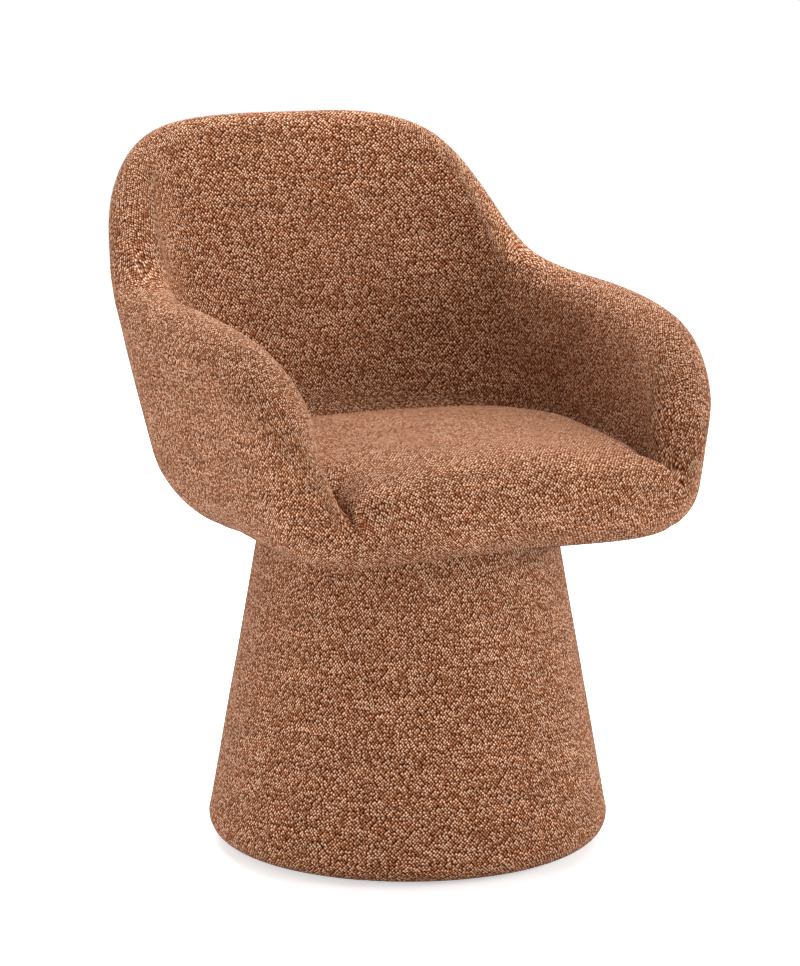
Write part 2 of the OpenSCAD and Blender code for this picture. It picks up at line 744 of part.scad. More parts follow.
// Full outline of a rib between the two boards, in its own upright plane.
module rib_blank() {
    inner = drum_depth + drum_wall + 1.5;
    rotate([90, 0, 0]) translate([0, 0, -rib_wall / 2]) linear_extrude(rib_wall)
        polygon([
            [-cone_radius(bottom_board_top, inner), bottom_board_top],
            [cone_radius(bottom_board_top, inner), bottom_board_top],
            [cone_radius(top_board_bottom, inner), top_board_bottom],
            [-cone_radius(top_board_bottom, inner), top_board_bottom]
        ]);
}

rib_middle = (bottom_board_top + top_board_bottom) / 2;
rib_slot = rib_wall + 2 * soft_gap;
module rib_pilots() {
    on_ribs() {
        translate([0, 0, bottom_board_top - 1])
            cylinder(r = screw_radius + hole_gap, h = screw_bite + 4, $fn = 24);
        translate([0, 0, top_board_bottom - screw_bite - 3])
            cylinder(r = screw_radius + hole_gap, h = screw_bite + 4, $fn = 24);
    }
}

module rib_lengthwise() {
    color(plywood_colour)
    difference() {
        rotate([0, 0, 90]) rib_blank();
        translate([-rib_slot / 2, -rib_slot / 2, rib_middle - soft_gap])
            cube([rib_slot, rib_slot, back_height]);
        rib_pilots();
    }
}

module rib_crosswise() {
    color(plywood_colour)
    difference() {
        rib_blank();
        translate([-rib_slot / 2, -rib_slot / 2, -1])
            cube([rib_slot, rib_slot, rib_middle + 1]);
        rib_pilots();
    }
}

// A countersunk wood screw: its head is flush with z = 0 and it points up.
module wood_screw(length) {
    cylinder(r1 = screw_head, r2 = screw_radius, h = screw_sink, $fn = 24);
    translate([0, 0, screw_sink - 1])
        cylinder(r = screw_radius, h = length - screw_sink - 4, $fn = 24);
    translate([0, 0, length - 5]) cylinder(r1 = screw_radius, r2 = 0.4, h = 5, $fn = 24);
}

module top_board_screws() {
    color(steel_colour)
    on_ribs() translate([0, 0, swivel_bottom]) mirror([0, 0, 1])
        wood_screw(round_board + screw_bite);
}

module bottom_board_screws() {
    color(steel_colour)
    on_ribs() translate([0, 0, bottom_board_z]) wood_screw(round_board + screw_bite);
}

module lower_bolts() {
    color(steel_colour)
    bolt_circle() translate([0, 0, swivel_bottom + plate_wall]) mirror([0, 0, 1])
        bolt(plate_wall + round_board - 1);
}

module lower_tee_nuts() {
    color(steel_colour)
    bolt_circle() translate([0, 0, top_board_bottom + 1.5]) mirror([0, 0, 1]) tee_nut(9);
}

glide_place = roll_centre.x - glide_inset;
module glide_circle() {
    for (i = [0:glide_count - 1])
        rotate([0, 0, 360 * (i + 0.5) / glide_count]) translate([glide_place, 0, 0]) children();
}

dust_bottom = bottom_board_z - 1;
module glides() {
    color("#2A2A2A")
    glide_circle() {
        cylinder(r1 = glide_radius - 1.5, r2 = glide_radius, h = dust_bottom - soft_gap);
        cylinder(r = glide_pin, h = bottom_board_z + glide_bite, $fn = 24);
    }
}

module base_dust_cover() {
    color(dark_cloth_colour)
    difference() {
        translate([0, 0, dust_bottom - soft_gap]) cylinder(r = roll_centre.x - 25, h = 1);
        glide_circle() cylinder(r = glide_pin + hole_gap, h = back_height, $fn = 24);
    }
}

pedestal_cover();
pedestal_foam();
pedestal_drum();
pedestal_top_board();
pedestal_bottom_board();
rib_lengthwise();
rib_crosswise();
top_board_screws();
bottom_board_screws();
base_dust_cover();
glides();
lower_swivel_plate();
lower_bolts();
lower_tee_nuts();
centre_rivet();
rivet_washer();
bearing_balls();
ball_cage();
upper_swivel_plate();
upper_bolts();
upper_tee_nuts();
seat_board();
shell_screws();
shell_with_holes();  // tub_shell
tub_foam();
tub_cover();
seat_foam();
seat_cover();
seat_dust_cover();
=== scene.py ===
"""Looks of a swivel tub armchair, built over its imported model.

A padded tub, open in front, turns on a round pedestal. One chunky tweed covers both.
Sizes here are in millimetres, as in the part's source, and meshes are made in metres.
The plan angle runs from straight behind, over the sitter's left, to straight in front.
"""
import logging
import math
from collections.abc import Callable, Mapping, Sequence
from dataclasses import dataclass, field
from enum import Enum
from functools import partial
from typing import Any

import bmesh
import bpy
import numpy as np
from bpy.types import Mesh, Node, NodeSocket, NodeTree, Object
from mathutils import Matrix, Vector


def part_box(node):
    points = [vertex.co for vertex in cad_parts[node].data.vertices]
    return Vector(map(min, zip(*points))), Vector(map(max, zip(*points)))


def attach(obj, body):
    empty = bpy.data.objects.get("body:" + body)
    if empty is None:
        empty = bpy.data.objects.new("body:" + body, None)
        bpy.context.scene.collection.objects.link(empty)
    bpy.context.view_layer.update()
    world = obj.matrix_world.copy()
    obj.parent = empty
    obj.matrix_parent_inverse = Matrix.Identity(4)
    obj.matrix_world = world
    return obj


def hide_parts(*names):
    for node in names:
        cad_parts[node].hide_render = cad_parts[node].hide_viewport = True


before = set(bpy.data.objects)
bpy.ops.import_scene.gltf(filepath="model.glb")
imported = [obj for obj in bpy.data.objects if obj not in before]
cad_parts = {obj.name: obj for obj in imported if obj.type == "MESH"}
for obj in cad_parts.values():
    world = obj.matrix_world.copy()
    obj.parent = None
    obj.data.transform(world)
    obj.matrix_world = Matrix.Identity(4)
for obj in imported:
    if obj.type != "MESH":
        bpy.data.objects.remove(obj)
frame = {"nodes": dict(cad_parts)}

LOG = logging.getLogger("armchair")
MM = 0.001
CLOTH_MAP = "Cloth"
PLANE = {"noise_dimensions": "2D"}

Array = np.ndarray
Adder = Callable[..., NodeSocket]
Stops = tuple[tuple[float, str], ...]


class Body(Enum):
    """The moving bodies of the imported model."""

    BASE = "base"
    BEARING = "bearing"
    SEAT = "seat"


class Slot(Enum):
    """The record's material slots."""

    TWEED = "tweed"
    FOAM = "foam"
    SHELL = "shell_plastic"
    PLYWOOD = "plywood"
    FIBREBOARD = "fibreboard"
    ZINC = "zinc_steel"
    BALLS = "bearing_steel"
    CAGE = "cage_plastic"
    DUST_CLOTH = "dust_cloth"
    GLIDES = "glide_plastic"


class Grain(Enum):
    """The axis across which a plywood part's veneers are stacked."""

    ACROSS_X = 0
    ACROSS_Y = 1
    FLAT = 2


def linear(code: str) -> tuple[float, float, float, float]:
    """Turn an sRGB hex colour into linear red, green, blue and alpha."""
    channels = [int(code[i : i + 2], 16) / 255 for i in (1, 3, 5)]
    curved = [c / 12.92 if c <= 0.04045 else ((c + 0.055) / 1.055) ** 2.4 for c in channels]
    return (*curved, 1.0)


def feed(tree: NodeTree, node: Node, inputs: Mapping[Any, Any]) -> None:
    """Link each input of a node that is given a socket, and set the rest."""
    for key, value in inputs.items():
        socket = node.inputs[key.replace("_", " ") if isinstance(key, str) else key]
        if isinstance(value, NodeSocket):
            tree.links.new(value, socket)
        else:
            socket.default_value = value


def add_node(
    tree: NodeTree,
    kind: str,
    *values: Any,
    at: Mapping[int, Any] | None = None,
    out: int | str = 0,
    stops: Stops = (),
    **named: Any,
) -> NodeSocket | None:
    """Add a node to a shader or geometry tree.

    Args:
        tree: The node tree.
        kind: The node's type, a shader node's without its first words, and then the
            node's operation if it has one, as in "Math ADD".
        values: Values of its first inputs; a socket is linked, the rest are set.
        at: Values of further inputs, by number.
        out: The output to return, by number or name.
        stops: Places and sRGB colours of a colour ramp.
        named: Inputs, by a capitalised name with _ for a space, and fields of the node,
            by a name in small letters.

    Returns:
        The output asked for, or nothing if the node has none.
    """
    kind, _, operation = kind.partition(" ")
    node = tree.nodes.new(kind if "Node" in kind else "ShaderNode" + kind)
    if operation:
        node.operation = operation
    for name in [n for n in named if n[0].islower()]:
        setattr(node, name, named.pop(name))
    if stops:
        elements = node.color_ramp.elements
        while len(elements) < len(stops):
            elements.new(0.5)
        for element, (place, code) in zip(elements, stops):
            element.position, element.color = place, linear(code)
    feed(tree, node, {**dict(enumerate(values)), **(at or {}), **named})
    return node.outputs[out] if len(node.outputs) else None


@dataclass(frozen=True)
class Finish:
    """A surface finish: a real material and how its surface was made."""

    name: str
    slot: Slot

    def material(self) -> bpy.types.Material:
        """Return the finish's material, made once."""
        made = bpy.data.materials.get(self.name)
        if made is None:
            made = bpy.data.materials.new(self.name)
            made.use_nodes = True
            tree = made.node_tree
            feed(tree, tree.nodes["Principled BSDF"], self.paint(partial(add_node, tree)))
        return made

    def paint(self, add: Adder) -> dict[str, Any]:
        """Add the finish's nodes; each kind has its own.

        Args:
            add: Adds a node to the material's tree; see add_node.

        Returns:
            The inputs of the material's shader, by name.
        """
        raise NotImplementedError


@dataclass(frozen=True)
class ChenilleTweed(Finish):
    """Woven chenille tweed: plump tufted floats in rust, caramel and tan.

    Floats stand in staggered rows, each a soft dome over dark gaps, so the eye sees a
    grain of pale dots between dark ones, with a slight bloom of fibre at grazing angles.
    The gaps' dark is partly the ground weave and partly painted shade, and the pale
    crowns are partly painted highlight. The real threads are finer; the floats are drawn
    as coarse as they need to be to show.
    """

    float_mm: float = 3.6
    row_mm: float = 2.2
    wander_mm: float = 2.8
    irregularity: float = 0.5
    pile_mm: float = 1.1
    mixture: float = 0.26
    slub: float = 0.14
    # The darkest stops are painted shade in the gaps between floats and the palest are painted
    # highlight on their crowns; the middle stops are the cloth's own rust, caramel and tan.
    yarn: Stops = (
        (0.06, "#180400"),
        (0.2, "#431505"),
        (0.34, "#7D4527"),
        (0.52, "#905836"),
        (0.66, "#A9734F"),
        (0.78, "#D4A784"),
        (0.92, "#E2CDBA"),
    )

    def paint(self, add: Adder) -> dict[str, Any]:
        """Lay the weave on the cloth map, which is in metres.

        Args:
            add: Adds a node to the material's tree; see add_node.

        Returns:
            The inputs of the material's shader, by name.
        """
        cloth = add("UVMap", uv_map=CLOTH_MAP)
        # Rows wander by about a millimetre every few centimetres.
        noise = add("TexNoise", Vector=cloth, Scale=40.0, Detail=1.0, out="Color", **PLANE)
        centred = add("VectorMath SUBTRACT", noise, (0.5, 0.5, 0.5))
        reach = (self.wander_mm * MM, self.wander_mm * MM, 0.0)
        placed = add("VectorMath MULTIPLY_ADD", centred, reach, cloth)
        # A square lattice turned by 45 degrees is a row of floats, every other row offset.
        per_float, per_row = 1 / (self.float_mm * MM), 1 / (self.row_mm * MM)
        lattice = add(
            "Mapping",
            Vector=placed,
            Rotation=(0.0, 0.0, math.radians(45)),
            Scale=(math.sqrt(2) * per_float, math.sqrt(0.5) * per_row, 1.0),
        )
        cells = add(
            "TexVoronoi",
            Vector=lattice,
            Scale=1.0,
            Randomness=self.irregularity,
            voronoi_dimensions="2D",
        )
        dome = add("MapRange", cells, 0.08, 0.72, 1.0, 0.0)
        # Loose fibre on each float, about 0.8 mm from tuft to tuft.
        fibre = add(
            "TexNoise", Vector=cloth, Scale=1200.0, Detail=2.0, Roughness=0.6, **PLANE
        )
        # Each float is pale on its crown and rust at its foot, down to the ground weave; the
        # pale crown is partly painted highlight, and the dark foot and gaps are partly painted
        # shade.
        depth = add("Math MULTIPLY_ADD", fibre, 0.35, dome)
        # Twisted of mixed fibres, one float takes the light and the next one stays dull.
        dye = add("SeparateColor", cells.node.outputs["Color"])
        share = add("MapRange", dye, 0.0, 1.0, 1.0 - self.mixture, 1.0 + self.mixture)
        level = add("MapRange", add("Math MULTIPLY", depth, share), 0.14, 1.3)
        # The ramp colours each float by its depth, with painted shade low in the gaps and
        # painted highlight on the crowns.
        yarn = add("ValToRGB", level, stops=self.yarn)
        # Each pick is a little thicker or thinner along its way, a slub of 4 to 8 cm.
        rows = add("Mapping", Vector=placed, Scale=(18.0, per_row, 1.0))
        pick = add("TexNoise", Vector=rows, Scale=0.55, Detail=1.0, **PLANE)
        shade = add("MapRange", pick, 0.3, 0.7, 1.0 - self.slub, 1.0 + self.slub)
        tinted = add("HueSaturation", Value=shade, Color=yarn)
        # The pile lies unevenly, in patches of 2 to 5 cm that read lighter or darker.
        patches = add(
            "TexNoise", Vector=cloth, Scale=26.0, Detail=3.0, Roughness=0.6, **PLANE
        )
        lift = add("MapRange", patches, 0.3, 0.7, 0.93, 1.06)
        height = add("Math MULTIPLY_ADD", fibre, 0.3, dome)
        return {
            "Base Color": add("HueSaturation", Value=lift, Color=tinted),
            "Roughness": 0.92,
            "Specular IOR Level": 0.1,
            "Sheen Weight": 0.07,
            "Sheen Roughness": 0.45,
            "Sheen Tint": linear("#E0B08A"),
            "Normal": add("Bump", Height=height, Distance=self.pile_mm * MM, Strength=1.0),
        }


@dataclass(frozen=True)
class OpenCellFoam(Finish):
    """Cut polyurethane foam: pale yellow-white and dull, its open-cell pits darkened with
    painted shade.
    """

    cell_mm: float = 1.1
    pit_mm: float = 0.5
    # The darkest stop is painted shade in the bottoms of the pits.
    cream: Stops = ((0.0, "#B49F6E"), (0.35, "#DFCF9F"), (1.0, "#EFE4C2"))

    def paint(self, add: Adder) -> dict[str, Any]:
        """Pit the foam.

        Args:
            add: Adds a node to the material's tree; see add_node.

        Returns:
            The inputs of the material's shader, by name.
        """
        place = add("TexCoord", out="Object")
        cells = add("TexVoronoi", Vector=place, Scale=1 / (self.cell_mm * MM))
        # The colour ramp follows the pits' depth, painting shade into their bottoms.
        return {
            "Base Color": add("ValToRGB", cells, stops=self.cream),
            "Roughness": 0.95,
            "Specular IOR Level": 0.2,
            "Normal": add("Bump", Height=cells, Distance=self.pit_mm * MM, Strength=1.0),
        }


@dataclass(frozen=True)
class BirchPlywood(Finish):
    """Sanded birch plywood: pale long grain on its faces, dark glue lines on its edges."""

    grain: Grain = Grain.FLAT
    veneer_mm: float = 1.5
    pore_mm: float = 0.15
    face: Stops = ((0.25, "#B98F58"), (0.5, "#D3B07C"), (0.75, "#E2C799"))
    edge: Stops = ((0.0, "#C69D66"), (0.45, "#A87C48"), (0.8, "#6B4A26"))

    def paint(self, add: Adder) -> dict[str, Any]:
        """Draw face grain and edge veneers, and choose between them by the normal.

        Args:
            add: Adds a node to the material's tree; see add_node.

        Returns:
            The inputs of the material's shader, by name.
        """
        place = add("TexCoord", out="Object")
        # Fibres are drawn about 9 mm apart across the grain and 11 cm along it.
        stretch = [110.0, 110.0, 110.0]
        stretch[(self.grain.value + 1) % 3] = 9.0
        drawn = add("Mapping", Vector=place, Scale=tuple(stretch))
        fibres = add("TexNoise", Vector=drawn, Scale=1.0, Detail=5.0, Distortion=0.6)
        axis = "XYZ"[self.grain.value]
        across = add("SeparateXYZ", place, out=axis)
        layer = add("Math MULTIPLY", across, math.pi / (self.veneer_mm * MM))
        wave = add("Math SINE", layer)
        normal = add("NewGeometry", out="Normal")
        level = add("Math ABSOLUTE", add("SeparateXYZ", normal, out=axis))
        flat = add("Math GREATER_THAN", level, 0.7)
        colours = {6: add("ValToRGB", wave, stops=self.edge)}
        colours[7] = add("ValToRGB", fibres, stops=self.face)
        return {
            "Base Color": add("Mix", flat, at=colours, out=2, data_type="RGBA"),
            "Roughness": 0.6,
            "IOR": 1.5,
            "Normal": add("Bump", Height=fibres, Distance=self.pore_mm * MM, Strength=1.0),
        }


@dataclass(frozen=True)
class SpunbondCloth(Finish):
    """Black spunbond dust cloth: matt, of fused fibre, dimpled by its bonding points."""

    dimple_mm: float = 1.6
    thickness_mm: float = 0.25
    black: Stops = ((0.3, "#121214"), (0.6, "#232326"), (0.8, "#3A3A3E"))

    def paint(self, add: Adder) -> dict[str, Any]:
        """Lay the grid of bonding points and the fibre between them.

        Args:
            add: Adds a node to the material's tree; see add_node.

        Returns:
            The inputs of the material's shader, by name.
        """
        cloth = add("UVMap", uv_map=CLOTH_MAP)
        per_point = 1 / (self.dimple_mm * MM)
        turned = add(
            "Mapping",
            Vector=cloth,
            Rotation=(0.0, 0.0, math.radians(45)),
            Scale=(per_point, per_point, 1.0),
        )
        points = add(
            "TexVoronoi", Vector=turned, Scale=1.0, Randomness=0.05, voronoi_dimensions="2D"
        )
        fibre = add(
            "TexNoise", Vector=cloth, Scale=900.0, Detail=4.0, Roughness=0.7, **PLANE
        )
        height = add("Math MULTIPLY_ADD", fibre, 0.4, points)
        relief = self.thickness_mm * MM
        return {
            "Base Color": add("ValToRGB", fibre, stops=self.black),
            "Roughness": 0.88,
            "Specular IOR Level": 0.3,
            "Normal": add("Bump", Height=height, Distance=relief, Strength=1.0),
        }


@dataclass(frozen=True)
class Mottled(Finish):
    """A finish whose colour, gloss and relief all follow one fine mottle.

    Its fields are the marks per metre, how broken they are, the colours, the relief's
    depth, the range of the roughness and the shader's other numbers.
    """

    per_metre: float
    detail: float
    colours: Stops
    relief_mm: float = 0.0
    roughness: tuple[float, float] | None = None
    numbers: tuple[tuple[str, float], ...] = ()
    harshness: float = 0.5

    def paint(self, add: Adder) -> dict[str, Any]:
        """Let colour, gloss and relief follow the mottle.

        Args:
            add: Adds a node to the material's tree; see add_node.

        Returns:
            The inputs of the material's shader, by name.
        """
        mottle = add(
            "TexNoise",
            Vector=add("TexCoord", out="Object"),
            Scale=self.per_metre,
            Detail=self.detail,
            Roughness=self.harshness,
        )
        inputs = {"Base Color": add("ValToRGB", mottle, stops=self.colours)}
        if self.roughness:
            inputs["Roughness"] = add("MapRange", mottle, 0.0, 1.0, *self.roughness)
        if self.relief_mm:
            relief = self.relief_mm * MM
            inputs["Normal"] = add("Bump", Height=mottle, Distance=relief, Strength=1.0)
        return inputs | dict(self.numbers)


TWEED = ChenilleTweed("chenille_tweed", Slot.TWEED)
FOAM = OpenCellFoam("open_cell_foam", Slot.FOAM)
DUST_CLOTH = SpunbondCloth("spunbond_cloth", Slot.DUST_CLOTH)
# Bright zinc on pressed steel: a cool grey metal with clouds 5 to 10 mm across.
ZINC = Mottled(
    "zinc_plated_steel",
    Slot.ZINC,
    per_metre=130.0,
    detail=4.0,
    colours=((0.3, "#AEB2B6"), (0.7, "#CDD1D4")),
    relief_mm=0.03,
    roughness=(0.24, 0.46),
    numbers=(("Metallic", 1.0),),
)
# Injection-moulded polypropylene: black, with its tool's spark texture, 0.6 mm apart.
SHELL = Mottled(
    "moulded_polypropylene",
    Slot.SHELL,
    per_metre=1600.0,
    detail=2.0,
    colours=((0.3, "#252527"), (0.7, "#313134")),
    relief_mm=0.08,
    numbers=(("Roughness", 0.62), ("IOR", 1.49)),
)
# Bent hardboard: pressed fibre, mid brown, with flecks of 1 to 3 mm, slightly shiny.
HARDBOARD = Mottled(
    "bent_hardboard",
    Slot.FIBREBOARD,
    per_metre=420.0,
    detail=5.0,
    colours=((0.3, "#5F4327"), (0.55, "#8C6B45"), (0.8, "#A98A62")),
    relief_mm=0.1,
    numbers=(("Roughness", 0.5), ("IOR", 1.5)),
    harshness=0.7,
)
# Lapped chrome steel: mirror bright, under smears of grease a few millimetres across.
BALL_STEEL = Mottled(
    "lapped_bearing_steel",
    Slot.BALLS,
    per_metre=300.0,
    detail=2.0,
    colours=((0.35, "#C2C2C4"), (0.65, "#D9D9DB")),
    roughness=(0.05, 0.22),
    numbers=(("Metallic", 1.0),),
)
# Moulded nylon: satin, faintly mottled 3 to 6 mm across, natural in the cage and black
# in the glides.
CAGE_NYLON, GLIDE_NYLON = (
    Mottled(
        name,
        slot,
        per_metre=230.0,
        detail=3.0,
        colours=((0.3, dark), (0.7, light)),
        relief_mm=0.05,
        numbers=(("Roughness", 0.46), ("IOR", 1.53)),
    )
    for name, slot, dark, light in (
        ("natural_nylon", Slot.CAGE, "#C6C0AE", "#DCD7C8"),
        ("black_nylon", Slot.GLIDES, "#232323", "#343434"),
    )
)


def smooth(t: Any) -> Any:
    """Ease from 0 to 1 with level ends, for a number or an array."""
    c = np.clip(t, 0.0, 1.0)
    return c * c * (3 - 2 * c)


def lumps(points: Array, amplitude: float, size: float, seed: int) -> Array:
    """Return a soft, even unevenness at points, in the points' unit.

    Args:
        points: Places, in an array whose last axis is x, y, z.
        amplitude: About the largest rise.
        size: About the distance from one lump to the next.
        seed: Fixes the pattern.

    Returns:
        The rise at each point.
    """
    rng = np.random.default_rng(seed)
    total = np.zeros(points.shape[:-1])
    for _ in range(14):
        way = rng.normal(size=3)
        way *= 2 * math.pi / (size * rng.uniform(0.6, 1.7)) / np.linalg.norm(way)
        total += np.sin(points @ way + rng.uniform(0, 2 * math.pi))
    return amplitude * total / 4.5


def grid_faces(rows: int, columns: int, wrap_rows: bool) -> Array:
    """Squares of a grid that closes round its columns, and round its rows if asked."""
    i, j = np.meshgrid(np.arange(rows - (not wrap_rows)), np.arange(columns), indexing="ij")
    here, above, after = i * columns, (i + 1) % rows * columns, (j + 1) % columns
    return np.stack([here + j, here + after, above + after, above + j], -1).reshape(-1, 4)


def capped(ring: Array, poles: Array) -> tuple[Array, list[list[int]]]:
    """Close a grid of rows over one pole before its first row and one after its last.

    Args:
        ring: The rows, as (rows, columns, 3).
        poles: The two poles, as (2, 3).

    Returns:
        Points and faces.
    """
    rows, columns = ring.shape[:2]
    total = rows * columns
    faces = grid_faces(rows, columns, False).tolist()
    for first, pole in ((0, total), (total - columns, total + 1)):
        faces += [[first + j, first + (j + 1) % columns, pole] for j in range(columns)]
    return np.concatenate([ring.reshape(-1, 3), poles]), faces


def link(name: str, data: Any) -> Object:
    """Make an object of some data and link it to the scene."""
    made = bpy.data.objects.new(name, data)
    bpy.context.scene.collection.objects.link(made)
    return made


def dress(mesh: Mesh, finish: Finish) -> Object:
    """Turn a mesh's faces outwards, smooth it, give it its finish and link it."""
    work = bmesh.new()
    work.from_mesh(mesh)
    bmesh.ops.recalc_face_normals(work, faces=work.faces)
    if work.calc_volume(signed=True) < 0:
        bmesh.ops.reverse_faces(work, faces=work.faces)
    work.to_mesh(mesh)
    work.free()
    mesh.shade_smooth()
    mesh.materials.clear()
    mesh.materials.append(finish.material())
    return link(mesh.name, mesh)


def make_piece(
    name: str,
    points: Array,
    faces: Sequence[Sequence[int]],
    finish: Finish,
    cloth: Array | None = None,
) -> Object:
    """Make a smooth, closed mesh object with its faces turned outwards.

    Args:
        name: The piece's name.
        points: Places in millimetres.
        faces: Corner numbers of each face.
        finish: What it is made of.
        cloth: The place on the cloth of each face's corners in turn, in millimetres.

    Returns:
        The object, linked to the scene.
    """
    mesh = bpy.data.meshes.new(name)
    mesh.from_pydata((np.asarray(points, float) * MM).tolist(), [], faces)
    if cloth is not None:
        layer = mesh.uv_layers.new(name=CLOTH_MAP)
        layer.data.foreach_set("uv", (np.asarray(cloth, np.float32) * MM).ravel())
    return dress(mesh, finish)


def place_piece(
    piece: Object, body: Body, slot: Slot, *nodes: str, fill: float | None = None
) -> Object:
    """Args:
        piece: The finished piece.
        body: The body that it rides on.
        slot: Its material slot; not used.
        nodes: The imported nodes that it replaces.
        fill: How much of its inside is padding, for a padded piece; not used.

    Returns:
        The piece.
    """
    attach(piece, body.value)
    if nodes:
        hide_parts(*nodes)
    LOG.info("%s: %d faces, rides on %s", piece.name, len(piece.data.polygons), body.value)
    return piece


def along(points: Array) -> Array:
    """Length walked at each point of a line, or of each column of rows of points."""
    steps = np.linalg.norm(np.diff(points, axis=0), axis=-1)
    return np.concatenate([np.zeros((1,) + steps.shape[1:]), np.cumsum(steps, axis=0)])


def crowded(place: Array, pace: Array, count: int) -> Array:
    """Share out count steps over the places, closer together where the pace is high."""
    walked = np.concatenate([[0], np.cumsum((pace[1:] + pace[:-1]) / 2)])
    return np.interp(np.linspace(0, walked[-1], count + 1), walked, place)


def surface_normals(surface: Array) -> Array:
    """Normals of a grid surface of (rows, columns, 3), closed round its columns."""
    across = np.roll(surface, -1, 1) - np.roll(surface, 1, 1)
    normal = np.cross(np.gradient(surface, axis=0), across)
    return normal / np.maximum(np.linalg.norm(normal, axis=-1, keepdims=True), 1e-9)


def mirrored_ring(near: Array) -> Array:
    """Close half a ring, (rows, half + 1, 3), by its mirror image in x."""
    return np.concatenate([near, near[:, -2:0:-1] * [-1, 1, 1]], 1)


def both_sides(near: Array) -> tuple[Array, Array]:
    """Cloth places left and right of each square of a mirrored ring."""
    far = near[:, ::-1] * [-1, 1]
    left = np.concatenate([near[:, :-1], far[:, :-1]], 1)
    return left, np.concatenate([near[:, 1:], far[:, 1:]], 1)


def band_cloth(left: Array, right: Array) -> Array:
    """Cloth places of the corners of each square, for every band between two rows."""
    corners = [left[:-1], right[:-1], right[1:], left[1:]]
    return np.stack(corners, 2).reshape(-1, 4, 2)


def through(control: Array, between: int) -> Array:
    """Smooth curves through columns of points, with more rows between them.

    Args:
        control: Points as (rows, columns, 3).
        between: Number of steps from one row to the next.

    Returns:
        The denser rows.
    """
    slope = np.zeros_like(control)
    gap = np.diff(along(control), axis=0)[..., None]
    chord = np.diff(control, axis=0) / np.maximum(gap, 1e-6)
    weight = gap[:-1] + gap[1:]
    slope[1:-1] = (chord[:-1] * gap[1:] + chord[1:] * gap[:-1]) / np.maximum(weight, 1e-6)
    slope[0], slope[-1] = chord[0], chord[-1]
    rows = []
    for i, step in enumerate(gap):
        for f in np.arange(between) / between:
            rows.append(
                (2 * f**3 - 3 * f**2 + 1) * control[i]
                + (f**3 - 2 * f**2 + f) * step * slope[i]
                + (3 * f**2 - 2 * f**3) * control[i + 1]
                + (f**3 - f**2) * step * slope[i + 1]
            )
    return np.stack([*rows, control[-1]])


